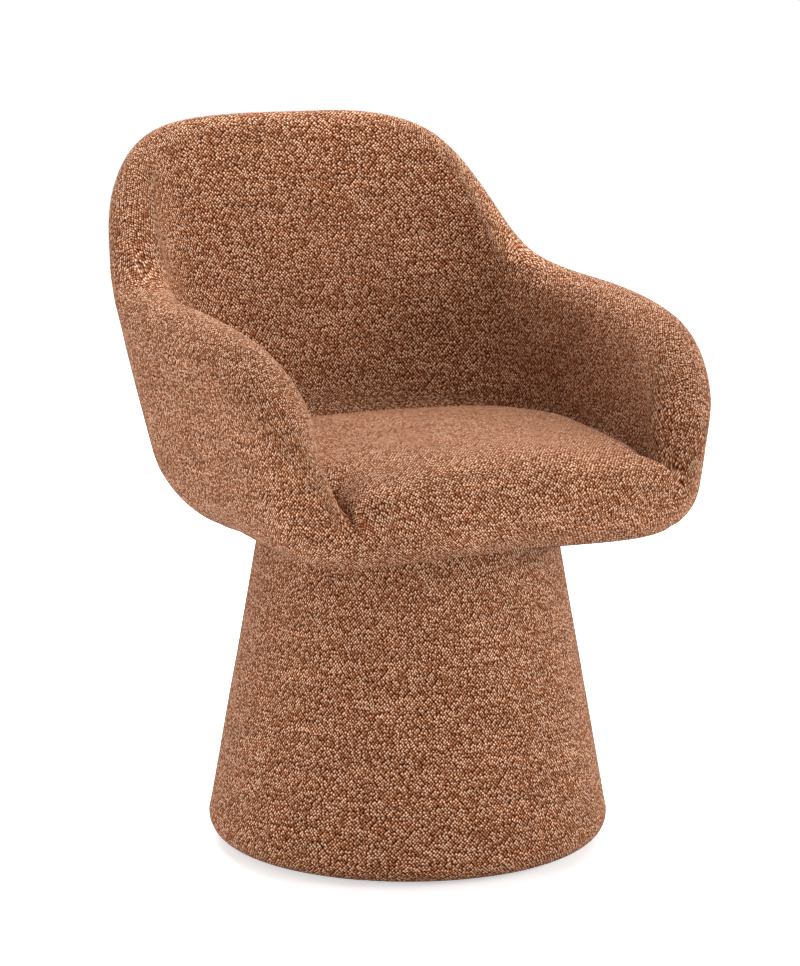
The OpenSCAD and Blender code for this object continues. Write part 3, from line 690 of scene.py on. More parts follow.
@dataclass(frozen=True)
class TubForm:
    """The tub's form: a wall swept round a rim that falls from the back to a front lip.

    Each entry of the rim holds its own plan angle, the foot's plan angle below it, the
    shares of the back's and the arm's height, and the share of the wall's thickness.
    """

    back_height: float = 800.0
    arm_height: float = 612.0
    under_height: float = 364.0
    foot_half_width: float = 255.0
    top_half_width: float = 327.0
    foot_back: float = 220.0
    top_back: float = 368.0
    front_reach: float = 250.0
    centre_forward: float = 11.0
    square_low: float = 2.7
    square_high: float = 3.3
    square_front: float = 5.5
    lean_power: float = 0.8
    fillet_side: float = 72.0
    fillet_back: float = 98.0
    fillet_front: float = 58.0
    fillet_pinch: float = 16.0
    wall: float = 54.0
    lip: float = 22.0
    lip_rise: float = 51.0
    rim: tuple[tuple[float, ...], ...] = (
        (0, 0, 1, 1, 1),
        (20.5, 16, 0.995, 1, 1),
        (34, 32, 0.84, 1, 1.06),
        (45, 45, 0.42, 1, 1.28),
        (54.7, 57, 0.07, 1, 1.42),
        (72, 70, 0.02, 1, 1.44),
        (88.5, 86, 0, 0.99, 1.45),
        (104, 102, 0, 0.95, 1.44),
        (116, 114, 0, 0.845, 1.58),
        (128.8, 124, 0, 0.54, 1.46),
        (135.5, 131, 0, 0.285, 1.16),
        (138, 138, 0, 0.055, 0.75),
        (144.3, 147, 0, 0, 0),
        (156, 158, 0, 0, 0),
        (168, 169, 0, 0, 0),
        (180, 180, 0, 0, 0),
    )

    @property
    def last(self) -> int:
        """Number of the rim's last entry."""
        return len(self.rim) - 1

    @property
    def lip_height(self) -> float:
        """Height of the lip's crest."""
        return self.under_height + self.lip_rise

    def station(self, t: Array) -> tuple[Array, ...]:
        """Return rim angle, foot angle, rim height and wall thickness at places t.

        Args:
            t: Places along the rim, from 0 behind to the last entry in front.

        Returns:
            The four values, from a cubic B-spline over the rim's entries.
        """
        table = np.array(self.rim, float)
        mirror, turn = [-1, -1, 1, 1, 1], [360, 360, 0, 0, 0]
        full = [table[[2, 1]] * mirror, table, table[[-2, -3]] * mirror + turn]
        full = np.concatenate(full)
        i = np.floor(t).astype(int)
        f = (t - i)[..., None]
        g = 1 - f
        entry = [full[np.clip(i + 2 + step, 0, len(full) - 1)] for step in (-1, 0, 1, 2)]
        value = (
            g**3 * entry[0]
            + (3 * f**3 - 6 * f**2 + 4) * entry[1]
            + (3 * g**3 - 6 * g**2 + 4) * entry[2]
            + f**3 * entry[3]
        ) / 6
        slope = self.lean_power * (self.top_back - self.foot_back)
        slope /= self.back_height - self.under_height
        back_rim = self.back_height - self.wall / 2 * math.sin(math.atan(slope))
        height = self.lip_height + (self.arm_height - self.lip_height) * value[..., 3]
        height = height + (back_rim - self.arm_height) * value[..., 2]
        thickness = self.lip + (self.wall - self.lip) * value[..., 4]
        return value[..., 0], value[..., 1], height, thickness

    def plan(self, angle: Array, z: Array) -> tuple[Array, ...]:
        """Return half width, reach and squareness of the outer face's plan."""
        rise = (z - self.under_height) / (self.back_height - self.under_height)
        rise = np.clip(rise, 0, 1.1)
        lean = rise**self.lean_power
        behind = np.cos(np.radians(angle)) > 0
        width = self.foot_half_width + (self.top_half_width - self.foot_half_width) * lean
        reach = self.foot_back + (self.top_back - self.foot_back) * lean
        square = self.square_low + (self.square_high - self.square_low) * np.minimum(rise, 1)
        reach = np.where(behind, reach, self.front_reach)
        return width, reach, np.where(behind, square, self.square_front)

    def plan_radius(self, angle: Array, z: Array) -> Array:
        """Radius of the outer face at a plan angle and height."""
        width, reach, n = self.plan(angle, z)
        turn = np.radians(angle)
        total = (np.abs(np.sin(turn)) / width) ** n + (np.abs(np.cos(turn)) / reach) ** n
        return total ** (-1 / n)

    def plan_normal(self, angle: Array, z: Array) -> tuple[Array, Array]:
        """Level outward normal of the plan at a plan angle and height."""
        width, reach, n = self.plan(angle, z)
        s, c = np.sin(np.radians(angle)), np.cos(np.radians(angle))
        x = np.sign(s) * (np.abs(s) / width) ** (n - 1) / width
        y = np.sign(c) * (np.abs(c) / reach) ** (n - 1) / reach
        length = np.hypot(x, y)
        return x / length, y / length

    def plan_point(self, angle: Array, radius: Array) -> tuple[Array, Array]:
        """Plan place at an angle and radius from the tub's centre."""
        turned = np.radians(angle)
        return radius * np.sin(turned), radius * np.cos(turned) - self.centre_forward

    def fillet(self, angle: Array) -> Array:
        """Radius of the rounded lower edge at a plan angle."""
        c = np.cos(np.radians(angle))
        end = np.where(c > 0, self.fillet_back, self.fillet_front)
        pinch = np.where(c < 0, self.fillet_pinch * np.sin(np.radians(2 * angle)) ** 2, 0)
        return self.fillet_side + (end - self.fillet_side) * c**2 - pinch

    def face_length(self, t: Array) -> Array:
        """Length of the outer face from the foot up to the rim."""
        _, foot, height, _ = self.station(t)
        h = height - self.under_height
        r = self.fillet(foot)
        turn = np.where(h < r, np.arccos(np.clip(1 - h / r, -1, 1)), math.pi / 2)
        return r * turn + np.maximum(h - r, 0)

    def face_point(self, t: Array, share: Array) -> Array:
        """Point on the outer face at a share of its length, below 0 being the flange."""
        top, foot, _, _ = self.station(t)
        r = self.fillet(foot)
        d = share * self.face_length(t)
        turn = np.clip(d / r, 0, math.pi / 2)
        angle = foot + (top - foot) * smooth(share)
        z = self.under_height + r * (1 - np.cos(turn)) + np.maximum(d - r * math.pi / 2, 0)
        radius = self.plan_radius(angle, z) - r * (1 - np.sin(turn)) + np.minimum(d, 0)
        return np.stack([*self.plan_point(angle, radius), z], -1)

    def wall_point(self, t: Array, share: Array, depth: Array) -> Array:
        """Point of the wall at a depth below the outer face, square to that face."""
        e = 0.02
        t, share, depth = np.broadcast_arrays(t, share, depth)
        base = self.face_point(t, share)
        level = self.face_point(t + e, share) - self.face_point(t - e, share)
        top = np.minimum(share + e, 1)
        up = self.face_point(t, top) - self.face_point(t, top - 2 * e)
        outward = np.cross(up, level)
        outward /= np.linalg.norm(outward, axis=-1, keepdims=True)
        return base - outward * depth[..., None]

    def crest(self, t: Array) -> Array:
        """Share of the face at which the rounded rim begins."""
        return 1 - self.station(t)[3] / 2 / self.face_length(t)

    def inner_depth(self, t: Array, share: Array) -> Array:
        """Depth of the inner face: the wall's low down, the thicker roll's above."""
        thickness = self.station(t)[3]
        low = np.minimum(thickness, self.wall)
        return low + (thickness - low) * smooth((share - 0.45) / 0.55)

    def section(self, angle: Array, h: Array) -> tuple[Array, ...]:
        """Radius of the outer face, and the level and downward shares of its normal."""

        def radius(q: Array) -> Array:
            """Radius at a height q above the underside, fillet included."""
            r = self.fillet(angle)
            tuck = r * (1 - np.sin(np.arccos(np.clip(1 - q / r, -1, 1))))
            return self.plan_radius(angle, self.under_height + q) - np.where(q < r, tuck, 0)

        low, high = np.maximum(h - 0.5, 0), h + 0.5
        run, climb = radius(high) - radius(low), high - low
        length = np.hypot(run, climb)
        return radius(h), climb / length, run / length

    def wall_at(
        self, angle: Array, z: Array, depth: Array, extra: Array
    ) -> tuple[Array, Array]:
        """Plan point at a height on a face of the wall, moved further in by an inset.

        Args:
            angle: Plan angles.
            z: Heights.
            depth: Depth of that face below the outer one.
            extra: The inset.

        Returns:
            The points' x and y.
        """
        low, high = np.zeros_like(z), np.full_like(z, 300.0)
        for _ in range(18):
            h = (low + high) / 2
            under = self.under_height + h + depth * self.section(angle, h)[2] < z
            low, high = np.where(under, h, low), np.where(under, high, h)
        h = (low + high) / 2
        radius, level, _ = self.section(angle, h)
        nx, ny = self.plan_normal(angle, self.under_height + h)
        x, y = self.plan_point(angle, radius)
        inset = depth * level + extra
        return x - nx * inset, y - ny * inset

    def foot_outline(self, angle: Array, shrink: float) -> Array:
        """Outline of the hole round the seat board, shrunk by a gap, as (..., 2)."""
        under = np.full_like(angle, self.under_height)
        radius = self.plan_radius(angle, under) - self.fillet(angle) - shrink
        return np.stack(self.plan_point(angle, radius), -1)


@dataclass
class Tub:
    """The padded back and arms: one cloth cover over foam, round a moulded shell."""

    form: TubForm = field(default_factory=TubForm)
    fabric: float = 2.0
    soft_gap: float = 0.4
    slack: float = 1.4
    shell_depth: float = 8.0
    shell_wall: float = 8.0
    edge_gap: float = 2.0
    half_stations: int = 132
    seam_height: float = 10.0
    seam_depth: float = 1.3
    seam_width: float = 2.6
    girth_height: float = 520.0
    lip_hollow: float = 3.2

    def stations(self) -> Array:
        """Places along half the rim, closer together round the nose of the arm."""
        place = np.linspace(0, 1, 2001) * self.form.last
        pace = 1 + 1.6 * np.exp(-(((place - 10.6) / 1.5) ** 2))
        return crowded(place, pace, self.half_stations)

    def girth(self, inset: float) -> Callable[[Array], Array]:
        """Length round the plan from behind to an angle, as a function of the angle."""
        angles = np.linspace(-6, 186, 1200)
        height = np.full_like(angles, self.girth_height)
        line = np.stack(self.form.plan_point(angles, self.form.plan_radius(angles, height)), -1)
        line -= np.stack(self.form.plan_normal(angles, height), -1) * inset
        walked = along(line)
        walked -= np.interp(0, angles, walked)
        return lambda a: np.interp(a, angles, walked)

    def cloth_of_half(self, t: Array, shares: Array, arc: Array, inside: bool) -> Array:
        """Cloth places of one panel: the face's rows and half of the rounded rim.

        Args:
            t: Places along the rim.
            shares: Shares of the face at the panel's rows, from the foot up.
            arc: Turns round the rim in degrees, from the face to its middle.
            inside: Whether the panel faces the sitter.

        Returns:
            Places as (rows, stations, 2).
        """
        top, foot, _, thickness = self.form.station(t)
        length, crest = self.form.face_length(t), self.form.crest(t)
        measure = self.girth(self.form.wall if inside else 0.0)

        def face(share: Array) -> Array:
            """Places on the face at a share of its length."""
            run = measure(foot + (top - foot) * smooth(share))
            u = run if inside else measure(np.array(180.0)) - run
            return np.stack([u, share * length], -1)

        edge = face(crest)
        way = np.gradient(edge, axis=0)
        way /= np.linalg.norm(way, axis=-1, keepdims=True)
        over = np.stack([-way[:, 1], way[:, 0]], -1) * (1 if inside else -1)
        rows = [face(s * crest) for s in shares]
        rows += [edge + over * (thickness / 2 * a)[:, None] for a in np.radians(arc)]
        return np.stack(rows)

    def path(self, t: Array, shares: Array, arc: Array, inset: float) -> list[Any]:
        """Line up the outer face, over the rim and down the inner one.

        Args:
            t: Places along the rim.
            shares: Shares of the face at which the line has points.
            arc: Turns round the rim in degrees.
            inset: How far the line keeps inside the form.

        Returns:
            The share of the face and the depth below it of each point.
        """
        form, length = self.form, self.form.face_length(t)
        crest, r = form.crest(t), form.station(t)[3] / 2
        line = [(s * crest, inset + 0 * t) for s in shares]
        for turn in np.radians(arc):
            up, back = (r - inset) * math.sin(turn), (r - inset) * math.cos(turn)
            line.append((crest + up / length, r - back))
        return line + [(s * crest, form.inner_depth(t, s) - inset) for s in shares[::-1]]

    def ring(self, t: Array, path: Sequence[tuple[Array, Array]]) -> Array:
        """Rows of points of the whole ring along a path."""
        return mirrored_ring(np.stack([self.form.wall_point(t, s, d) for s, d in path]))

    def build_cover(self) -> Object:
        """Make the cloth cover, from its stapled outer edge over the rim to the inner."""
        t, arc = self.stations(), np.linspace(0, 180, 17)[1:-1]
        shares = np.concatenate([np.linspace(0, 0.14, 13), np.linspace(0.14, 1, 33)[1:]])
        surface = self.ring(t, self.path(t, shares, arc, 0.0))
        bump = self.unevenness(surface, len(shares))[..., None]
        normal = surface_normals(surface)
        back = surface + normal * (bump - self.fabric)
        ring = np.concatenate([surface + normal * bump, back[::-1]])
        faces = grid_faces(*ring.shape[:2], True).tolist()
        # Two panels meet in the middle row of the rim; the cloth's back has them again.
        middle = len(arc) // 2 + 1
        outer = self.cloth_of_half(t, shares, arc[:middle], False)
        inner = self.cloth_of_half(t, shares, 180 - arc[: middle - 2 : -1], True)[::-1]
        panels = [outer, inner, inner[[-1, -1]], inner[::-1], outer[::-1], outer[[0, 0]]]
        cloth = np.concatenate([band_cloth(*both_sides(panel)) for panel in panels])
        cover = make_piece("tub_upholstery", ring.reshape(-1, 3), faces, TWEED, cloth)
        return place_piece(cover, Body.SEAT, Slot.TWEED, "tub_cover", fill=0.9)

    def unevenness(self, surface: Array, face_rows: int) -> Array:
        """Depth of the padding's soft lumps and of the seam above the lower edge."""
        bump = -0.6 + lumps(surface, 0.6, 150.0, 5) + lumps(surface, 0.25, 60.0, 6)
        rise = surface[:face_rows, :, 2] - self.form.under_height
        groove = np.exp(-(((rise - self.seam_height) / self.seam_width) ** 2))
        bump[:face_rows] -= self.seam_depth * groove
        # The front lip stands back a little, to make room for the cushion's roll.
        x, y, z = np.moveaxis(surface, -1, 0)
        front = smooth((-225 - y) / 12) * smooth((205 - np.abs(x)) / 25)
        bump -= self.lip_hollow * front * smooth((z - 400) / 13)
        return np.minimum(bump, 0.3)

    def build_foam(self) -> Object:
        """Make the foam under the cover, with its pocket for the moulded shell."""
        t, shares = self.stations(), np.linspace(0, 1, 15)
        crest, length = self.form.crest(t), self.form.face_length(t)
        inset = self.fabric + self.soft_gap + self.slack
        near = self.shell_depth - self.soft_gap
        far = self.shell_depth + self.shell_wall + self.soft_gap
        pocket = [s * crest for s in shares] + [crest + self.edge_gap / length]
        path = self.path(t, shares, np.linspace(0, 180, 11)[1:-1], inset)
        path += [(share, far + 0 * t) for share in pocket]
        path += [(share, near + 0 * t) for share in pocket[::-1]]
        ring = self.ring(t, path)
        faces = grid_faces(*ring.shape[:2], True).tolist()
        foam = make_piece("tub_padding", ring.reshape(-1, 3), faces, FOAM)
        return place_piece(foam, Body.SEAT, Slot.FOAM, "tub_foam", fill=1.0)


@dataclass
class Cushion:
    """The seat cushion: a crowned foam pad whose cover rolls over the front lip."""

    form: TubForm = field(default_factory=TubForm)
    seat_height: float = 478.0
    crease_drop: float = 23.0
    crease_sink: float = 34.0
    seat_fall: float = 6.0
    front_bulge: float = 3.0
    board_top: float = 395.0
    board_overlap: float = 10.0
    soft_gap: float = 0.4
    slack: float = 2.6
    fabric: float = 2.0
    nose_angle: float = 139.0
    half_columns: int = 120
    contact: float = 0.7
    edge_row: int = 42
    fan_row: int = 14

    @property
    def centre(self) -> Array:
        """Plan place of the crown's middle."""
        return np.array([0.0, -self.form.centre_forward])

    def corner(self, a: Array) -> Array:
        """How far a plan angle is into the drawn-down front corner, from 0 to 1."""
        before, after = smooth((a - 108) / 31), smooth((164 - a) / 25)
        return np.where(a < self.nose_angle, before, after)

    def angles(self) -> Array:
        """Plan angles of half the ring, closer together at the front corner."""
        place = np.linspace(0, 180, 1801)
        pace = 1 + 2.4 * np.exp(-(((place - 140) / 10) ** 2))
        pace += 0.8 * np.exp(-(((place - 45) / 16) ** 2))
        return crowded(place, pace, self.half_columns)

    def side_rows(self, a: Array, k: float) -> list[tuple[Any, ...]]:
        """Rows of the profile beside the arms and the back.

        Args:
            a: Plan angles.
            k: Depth of the layer below the cushion's face.

        Returns:
            For each row the height on the wall's inner face that it follows, the inset
            from that face and its own height.
        """
        c, g = self.corner(a), self.contact
        fall = self.seat_fall * smooth((100 - a) / 75)
        up = self.crease_drop + self.crease_sink * smooth((a - 78) / 62)
        z = self.seat_height - fall - up
        return [
            (z - 14, g + 3 + k, z - 14),
            (z - 4, g + 0.8 + k, z - 4),
            (z, g + k, z),
            (z, g + 4 + k, z + up * (0.32 - 0.08 * c) - k * 0.5),
            (z, g + 12 - 4 * c + k * 0.7, z + up * (0.47 - 0.11 * c) - k * 0.8),
            (z, g + 25 - 8 * c + k * 0.4, z + up * (0.58 - 0.05 * c) - k * 0.9),
            (z, g + 49 - 8 * c, z + up * (0.7 + 0.03 * c) - k),
        ]

    def front_rows(self, a: Array, k: float) -> list[tuple[Any, ...]]:
        """Rows of the profile over the front lip, by its outer face.

        Args:
            a: Plan angles.
            k: Depth of the layer below the cushion's face.

        Returns:
            For each row what side_rows returns, on the outer face.
        """
        c = self.corner(a)
        z = self.form.lip_height + 4 + 9 * smooth((152 - a) / 10)
        up = self.seat_height - z
        return [
            (z - 26, 2.4 + k, z - 26),
            (z - 13, 0.1 + k, z - 13),
            (z, k - 1.2, z),
            (z, k - self.front_bulge + 9 * c, z + up * 0.3),
            (z, 10 + 12 * c + k * 0.8, z + up * (0.62 - 0.15 * c) - k * 0.5),
            (z, 26 + 22 * c + k * 0.5, z + up * (0.8 - 0.18 * c) - k * 0.8),
            (z, 48 + 40 * c + k * 0.2, z + up * (0.89 - 0.13 * c) - k),
        ]

    def placed(self, a: Array, rows: list[tuple[Any, ...]], depth: float) -> Array:
        """Points of the rows by the wall at a depth, pulled inwards above the crease."""
        points, crease, middle = [], rows[2][1], self.form.centre_forward
        for j, (on, inset, height) in enumerate(rows):
            pull = inset - crease if j > 2 else 0 * a
            x, y = self.form.wall_at(a, on, depth, inset - pull)
            left = 1 - pull / np.hypot(x, y + middle)
            points.append(np.stack([x * left, (y + middle) * left - middle, height], -1))
        return np.stack(points)

    def surface(self, k: float, between: int) -> Array:
        """Smooth surface through the profiles, at a depth below the cushion's face.

        Args:
            k: The depth.
            between: Number of steps from one row of the profile to the next.

        Returns:
            Points as (rows, columns, 3), closed round the columns, up to the crown.
        """
        a = self.angles()
        side = self.placed(a, self.side_rows(a, k), self.form.wall)
        front = self.placed(a, self.front_rows(a, k), 0.0)
        rows = side + (front - side) * smooth((a - 137) / 5)[None, :, None]
        edge, top = rows[-1], self.seat_height - k
        crown = []
        for f in (0.78, 0.52, 0.26, 0.06):
            flat = self.centre * (1 - f) + edge[:, :2] * f
            crown.append(np.c_[flat, top + (edge[:, 2] - top) * f**2.2])
        near = through(np.concatenate([rows, crown]), between)
        near[:, [0, -1], 0] = 0
        return mirrored_ring(near)

    def poles(self, top: Array, low: float | None = None) -> Array:
        """Bottom and top middle of a pad; the bottom is a fabric's thickness down."""
        height = top[-1, :, 2].mean() + 0.02
        low = height - self.fabric if low is None else low
        return np.array([[*self.centre, low], [*self.centre, height]])

    def build_cover(self) -> Object:
        """Make the cover, tucked in at the crease and rolled over the front."""
        top = self.surface(0.0, 7)
        fade = smooth(np.arange(top.shape[0]) / 16)[:, None]
        lump = fade * (lumps(top, 0.7, 130.0, 8) + lumps(top, 0.3, 50.0, 9))
        top = top + surface_normals(top) * lump[..., None]
        under = top - surface_normals(top) * self.fabric
        poles = self.poles(top)
        points, faces = capped(np.concatenate([under[::-1], top]), poles)
        at = self.cloth_places(top)
        at = np.concatenate([np.concatenate([at[::-1], at]).reshape(-1, 2), poles[:, :2]])
        cloth = at[np.concatenate(faces)]
        cover = make_piece("seat_upholstery", points, faces, TWEED, cloth)
        return place_piece(cover, Body.SEAT, Slot.TWEED, "seat_cover", fill=0.85)

    def cloth_places(self, top: Array) -> Array:
        """Cloth places: level on the crown, and walked along down the sides.

        Args:
            top: The cover's face, as (rows, columns, 3).

        Returns:
            Places as (rows, columns, 2).
        """
        flat, edge, half = top[..., :2].copy(), self.edge_row, top.shape[1] // 2
        down = along(top[edge::-1])[::-1]
        ring = flat[edge]
        near, low = ring[: half + 1], top[self.fan_row, : half + 1]
        # Where the rows fan out below the edge, so does the cloth, by up to half a turn.
        bend = np.diff(along(low) - along(near))[::-1]
        reach = down[self.fan_row, : half + 1][::-1]
        turn = np.cumsum(np.maximum(bend, 0) * 2 / (reach[1:] + reach[:-1]))
        turn = np.concatenate([[0.0], np.minimum(turn, math.pi)])[::-1]
        way = np.stack([np.sin(turn), -np.cos(turn)], -1)
        way = np.concatenate([way, way[-2:0:-1] * [-1, 1]])
        flat[: edge + 1] = ring + way * down[..., None]
        return flat

    def build_foam(self) -> Object:
        """Make the foam pad, down to the seat board."""
        top = self.surface(self.fabric + self.soft_gap + self.slack, 3)
        near, bottom = self.angles(), self.board_top + self.soft_gap
        around = np.concatenate([near, 360 - near[-2:0:-1]])
        foot = self.form.foot_outline(around, -self.board_overlap) - self.centre
        inward = top[0, :, :2] - self.centre
        scale = np.linalg.norm(foot, axis=-1) / np.linalg.norm(inward, axis=-1)
        low = np.c_[self.centre + inward * np.minimum(1.0, scale)[:, None], 0 * scale + bottom]
        points, faces = capped(np.concatenate([low[None], top]), self.poles(top, bottom))
        foam = make_piece("seat_padding", points, faces, FOAM)
        return place_piece(foam, Body.SEAT, Slot.FOAM, "seat_foam", fill=1.0)


def new_tree(name: str, **inputs: Any) -> tuple[NodeTree, Adder, Mapping[str, NodeSocket]]:
    """Start a geometry tree with named inputs.

    Args:
        name: The tree's name.
        inputs: By each input's name, with _ for a space, its default number, or its
            type where it is an object or a material.

    Returns:
        The tree, the function that adds a node to it and its inputs' sockets.
    """
    tree = bpy.data.node_groups.new(name, "GeometryNodeTree")
    face = tree.interface
    for way in ("INPUT", "OUTPUT"):
        face.new_socket("Geometry", in_out=way, socket_type="NodeSocketGeometry")
    for label, value in inputs.items():
        kind = value if isinstance(value, str) else type(value).__name__.title()
        label = label.replace("_", " ")
        socket = face.new_socket(label, in_out="INPUT", socket_type="NodeSocket" + kind)
        if not isinstance(value, str):
            socket.default_value = value
    add = partial(add_node, tree)
    return tree, add, add("NodeGroupInput").node.outputs


def end_tree(add: Adder, geometry: NodeSocket, material: NodeSocket) -> None:
    """End a geometry tree with real meshes of one material."""
    real = add("GeometryNodeRealizeInstances", geometry)
    add("NodeGroupOutput", add("GeometryNodeSetMaterial", Geometry=real, Material=material))


def grow(
    name: str, carrier: Object, tree: NodeTree, values: Mapping[str, Any], finish: Finish
) -> Object:
    """Run a geometry tree on a carrier and return its result as a plain object.

    Args:
        name: The new piece's name.
        carrier: Object that the tree starts from; it is removed.
        tree: The geometry tree.
        values: Values of the tree's named inputs.
        finish: What the piece is made of.

    Returns:
        The new piece.
    """
    modifier = carrier.modifiers.new("grow", "NODES")
    modifier.node_group = tree
    values = {**values, "Material": finish.material()}
    for item in tree.interface.items_tree:
        if item.in_out == "INPUT" and item.name in values:
            modifier[item.identifier] = values[item.name]
    graph = bpy.context.evaluated_depsgraph_get()
    graph.update()
    mesh = bpy.data.meshes.new_from_object(carrier.evaluated_get(graph))
    mesh.name = name
    carrier.modifiers.remove(modifier)
    old = carrier.data
    bpy.data.objects.remove(carrier)
    bpy.data.meshes.remove(old)
    return dress(mesh, finish)


def line_object(name: str, points: Array) -> Object:
    """Make a carrier of one closed line, with the length walked, from millimetres."""
    points = points * MM
    count = len(points)
    mesh = bpy.data.meshes.new(name)
    mesh.from_pydata(points.tolist(), [(i, (i + 1) % count) for i in range(count)], [])
    walked = mesh.attributes.new("walked", "FLOAT", "POINT")
    walked.data.foreach_set("value", along(points).astype(np.float32))
    return link(name, mesh)


def lathe_tree() -> NodeTree:
    """Build the tree that turns an outline round the axis, with one sewn seam.

    The outline's x is the radius and its z the height. Columns crowd towards the seam,
    where the cloth dips between the two edges sewn together behind it.

    Returns:
        The tree.
    """
    tree, add, given = new_tree(
        "turned_cover",
        Columns=300,
        Seam_Angle=0.0,
        Seam_Depth=0.001,
        Seam_Width=0.002,
        Cloth_Radius=0.2,
        Lump_Height=0.001,
        Material="Material",
    )
    line = given["Geometry"]
    size = add("GeometryNodeAttributeDomainSize", line)
    stride = add("Math ADD", size, 1.0)
    columns = add("Math ADD", given["Columns"], 1.0)
    grid = add("GeometryNodeMeshGrid", Vertices_X=columns, Vertices_Y=stride)
    index = add("GeometryNodeInputIndex")
    # Half a step keeps the division away from whole numbers, where it could round down.
    column = add("Math FLOOR", add("Math DIVIDE", add("Math ADD", index, 0.5), stride))
    step = add("Math SUBTRACT", index, add("Math MULTIPLY", column, stride))
    past = add("Math GREATER_THAN", step, add("Math SUBTRACT", size, 0.5))
    row = add("Math SUBTRACT", step, add("Math MULTIPLY", size, past))
    place = add("GeometryNodeInputPosition")
    length = add("GeometryNodeInputNamedAttribute", Name="walked", data_type="FLOAT")
    outline, walked = (
        add("GeometryNodeSampleIndex", Geometry=line, Value=value, Index=row, data_type=kind)
        for value, kind in ((place, "FLOAT_VECTOR"), (length, "FLOAT"))
    )
    parts = add("SeparateXYZ", outline).node.outputs
    full = add("Math MULTIPLY", add("Math DIVIDE", column, given["Columns"]), 2 * math.pi)
    turn = add("Math SUBTRACT", full, add("Math MULTIPLY", add("Math SINE", full), 0.9))
    back = add("Math SUBTRACT", 2 * math.pi, turn)
    gap = add("Math MULTIPLY", add("Math MINIMUM", turn, back), given["Cloth Radius"])
    ratio = add("Math DIVIDE", gap, given["Seam Width"])
    square = add("Math MULTIPLY", ratio, ratio)
    dip = add("Math EXPONENT", add("Math MULTIPLY", square, -1.0))
    angle = add("Math ADD", turn, given["Seam Angle"])
    x, y = (add(f"Math {wave}", angle) for wave in ("COSINE", "SINE"))

    def around(radius: NodeSocket) -> NodeSocket:
        """Place at a radius, at the column's angle and the row's height."""
        across, ahead = (add("Math MULTIPLY", radius, way) for way in (x, y))
        return add("CombineXYZ", across, ahead, parts["Z"])

    lump = add("TexNoise", Vector=around(parts["X"]), Scale=9.0, Detail=2.0)
    swell = add("Math MULTIPLY", add("Math SUBTRACT", lump, 0.62), given["Lump Height"])
    sink = add("Math MULTIPLY", dip, given["Seam Depth"])
    shaped = around(add("Math ADD", parts["X"], add("Math SUBTRACT", swell, sink)))
    cloth = add("CombineXYZ", add("Math MULTIPLY", turn, given["Cloth Radius"]), walked)
    # The cloth's places are worked out before the points move, and stored after it.
    note = {"Name": "cloth_place", "data_type": "FLOAT_VECTOR"}
    store = "GeometryNodeStoreNamedAttribute"
    kept = add(store, Geometry=grid, Value=cloth, domain="POINT", **note)
    moved = add("GeometryNodeSetPosition", Geometry=kept, Position=shaped)
    mapped = add(
        store,
        Geometry=moved,
        Name=CLOTH_MAP,
        Value=add("GeometryNodeInputNamedAttribute", **note),
        data_type="FLOAT2",
        domain="CORNER",
    )
    welded = add("GeometryNodeMergeByDistance", Geometry=mapped, Distance=2e-6)
    end_tree(add, welded, given["Material"])
    return tree


def staple_tree() -> NodeTree:
    """Build the tree that sets staples along a line, a little uneven as by hand."""
    tree, add, given = new_tree(
        "staple_row", Count=40, Staple="Object", Skew=0.12, Seed=3, Material="Material"
    )
    line = add("GeometryNodeMeshToCurve", given["Geometry"])
    spaced = add("GeometryNodeResampleCurve", Curve=line, Count=given["Count"])
    tangent = add("GeometryNodeInputTangent")
    aligned = add("FunctionNodeAlignRotationToVector", Vector=tangent, axis="X")
    limits = {2: -1.0, 3: 1.0}
    random = add(
        "FunctionNodeRandomValue", at=limits, out=1, Seed=given["Seed"], data_type="FLOAT"
    )
    tilt = add("CombineXYZ", Z=add("Math MULTIPLY", random, given["Skew"]))
    turn = add("FunctionNodeEulerToRotation", tilt)
    placed = add(
        "GeometryNodeInstanceOnPoints",
        Points=spaced,
        Instance=add("GeometryNodeObjectInfo", Object=given["Staple"], out="Geometry"),
        Rotation=add("FunctionNodeRotateRotation", aligned, turn, rotation_space="LOCAL"),
    )
    end_tree(add, placed, given["Material"])
    return tree


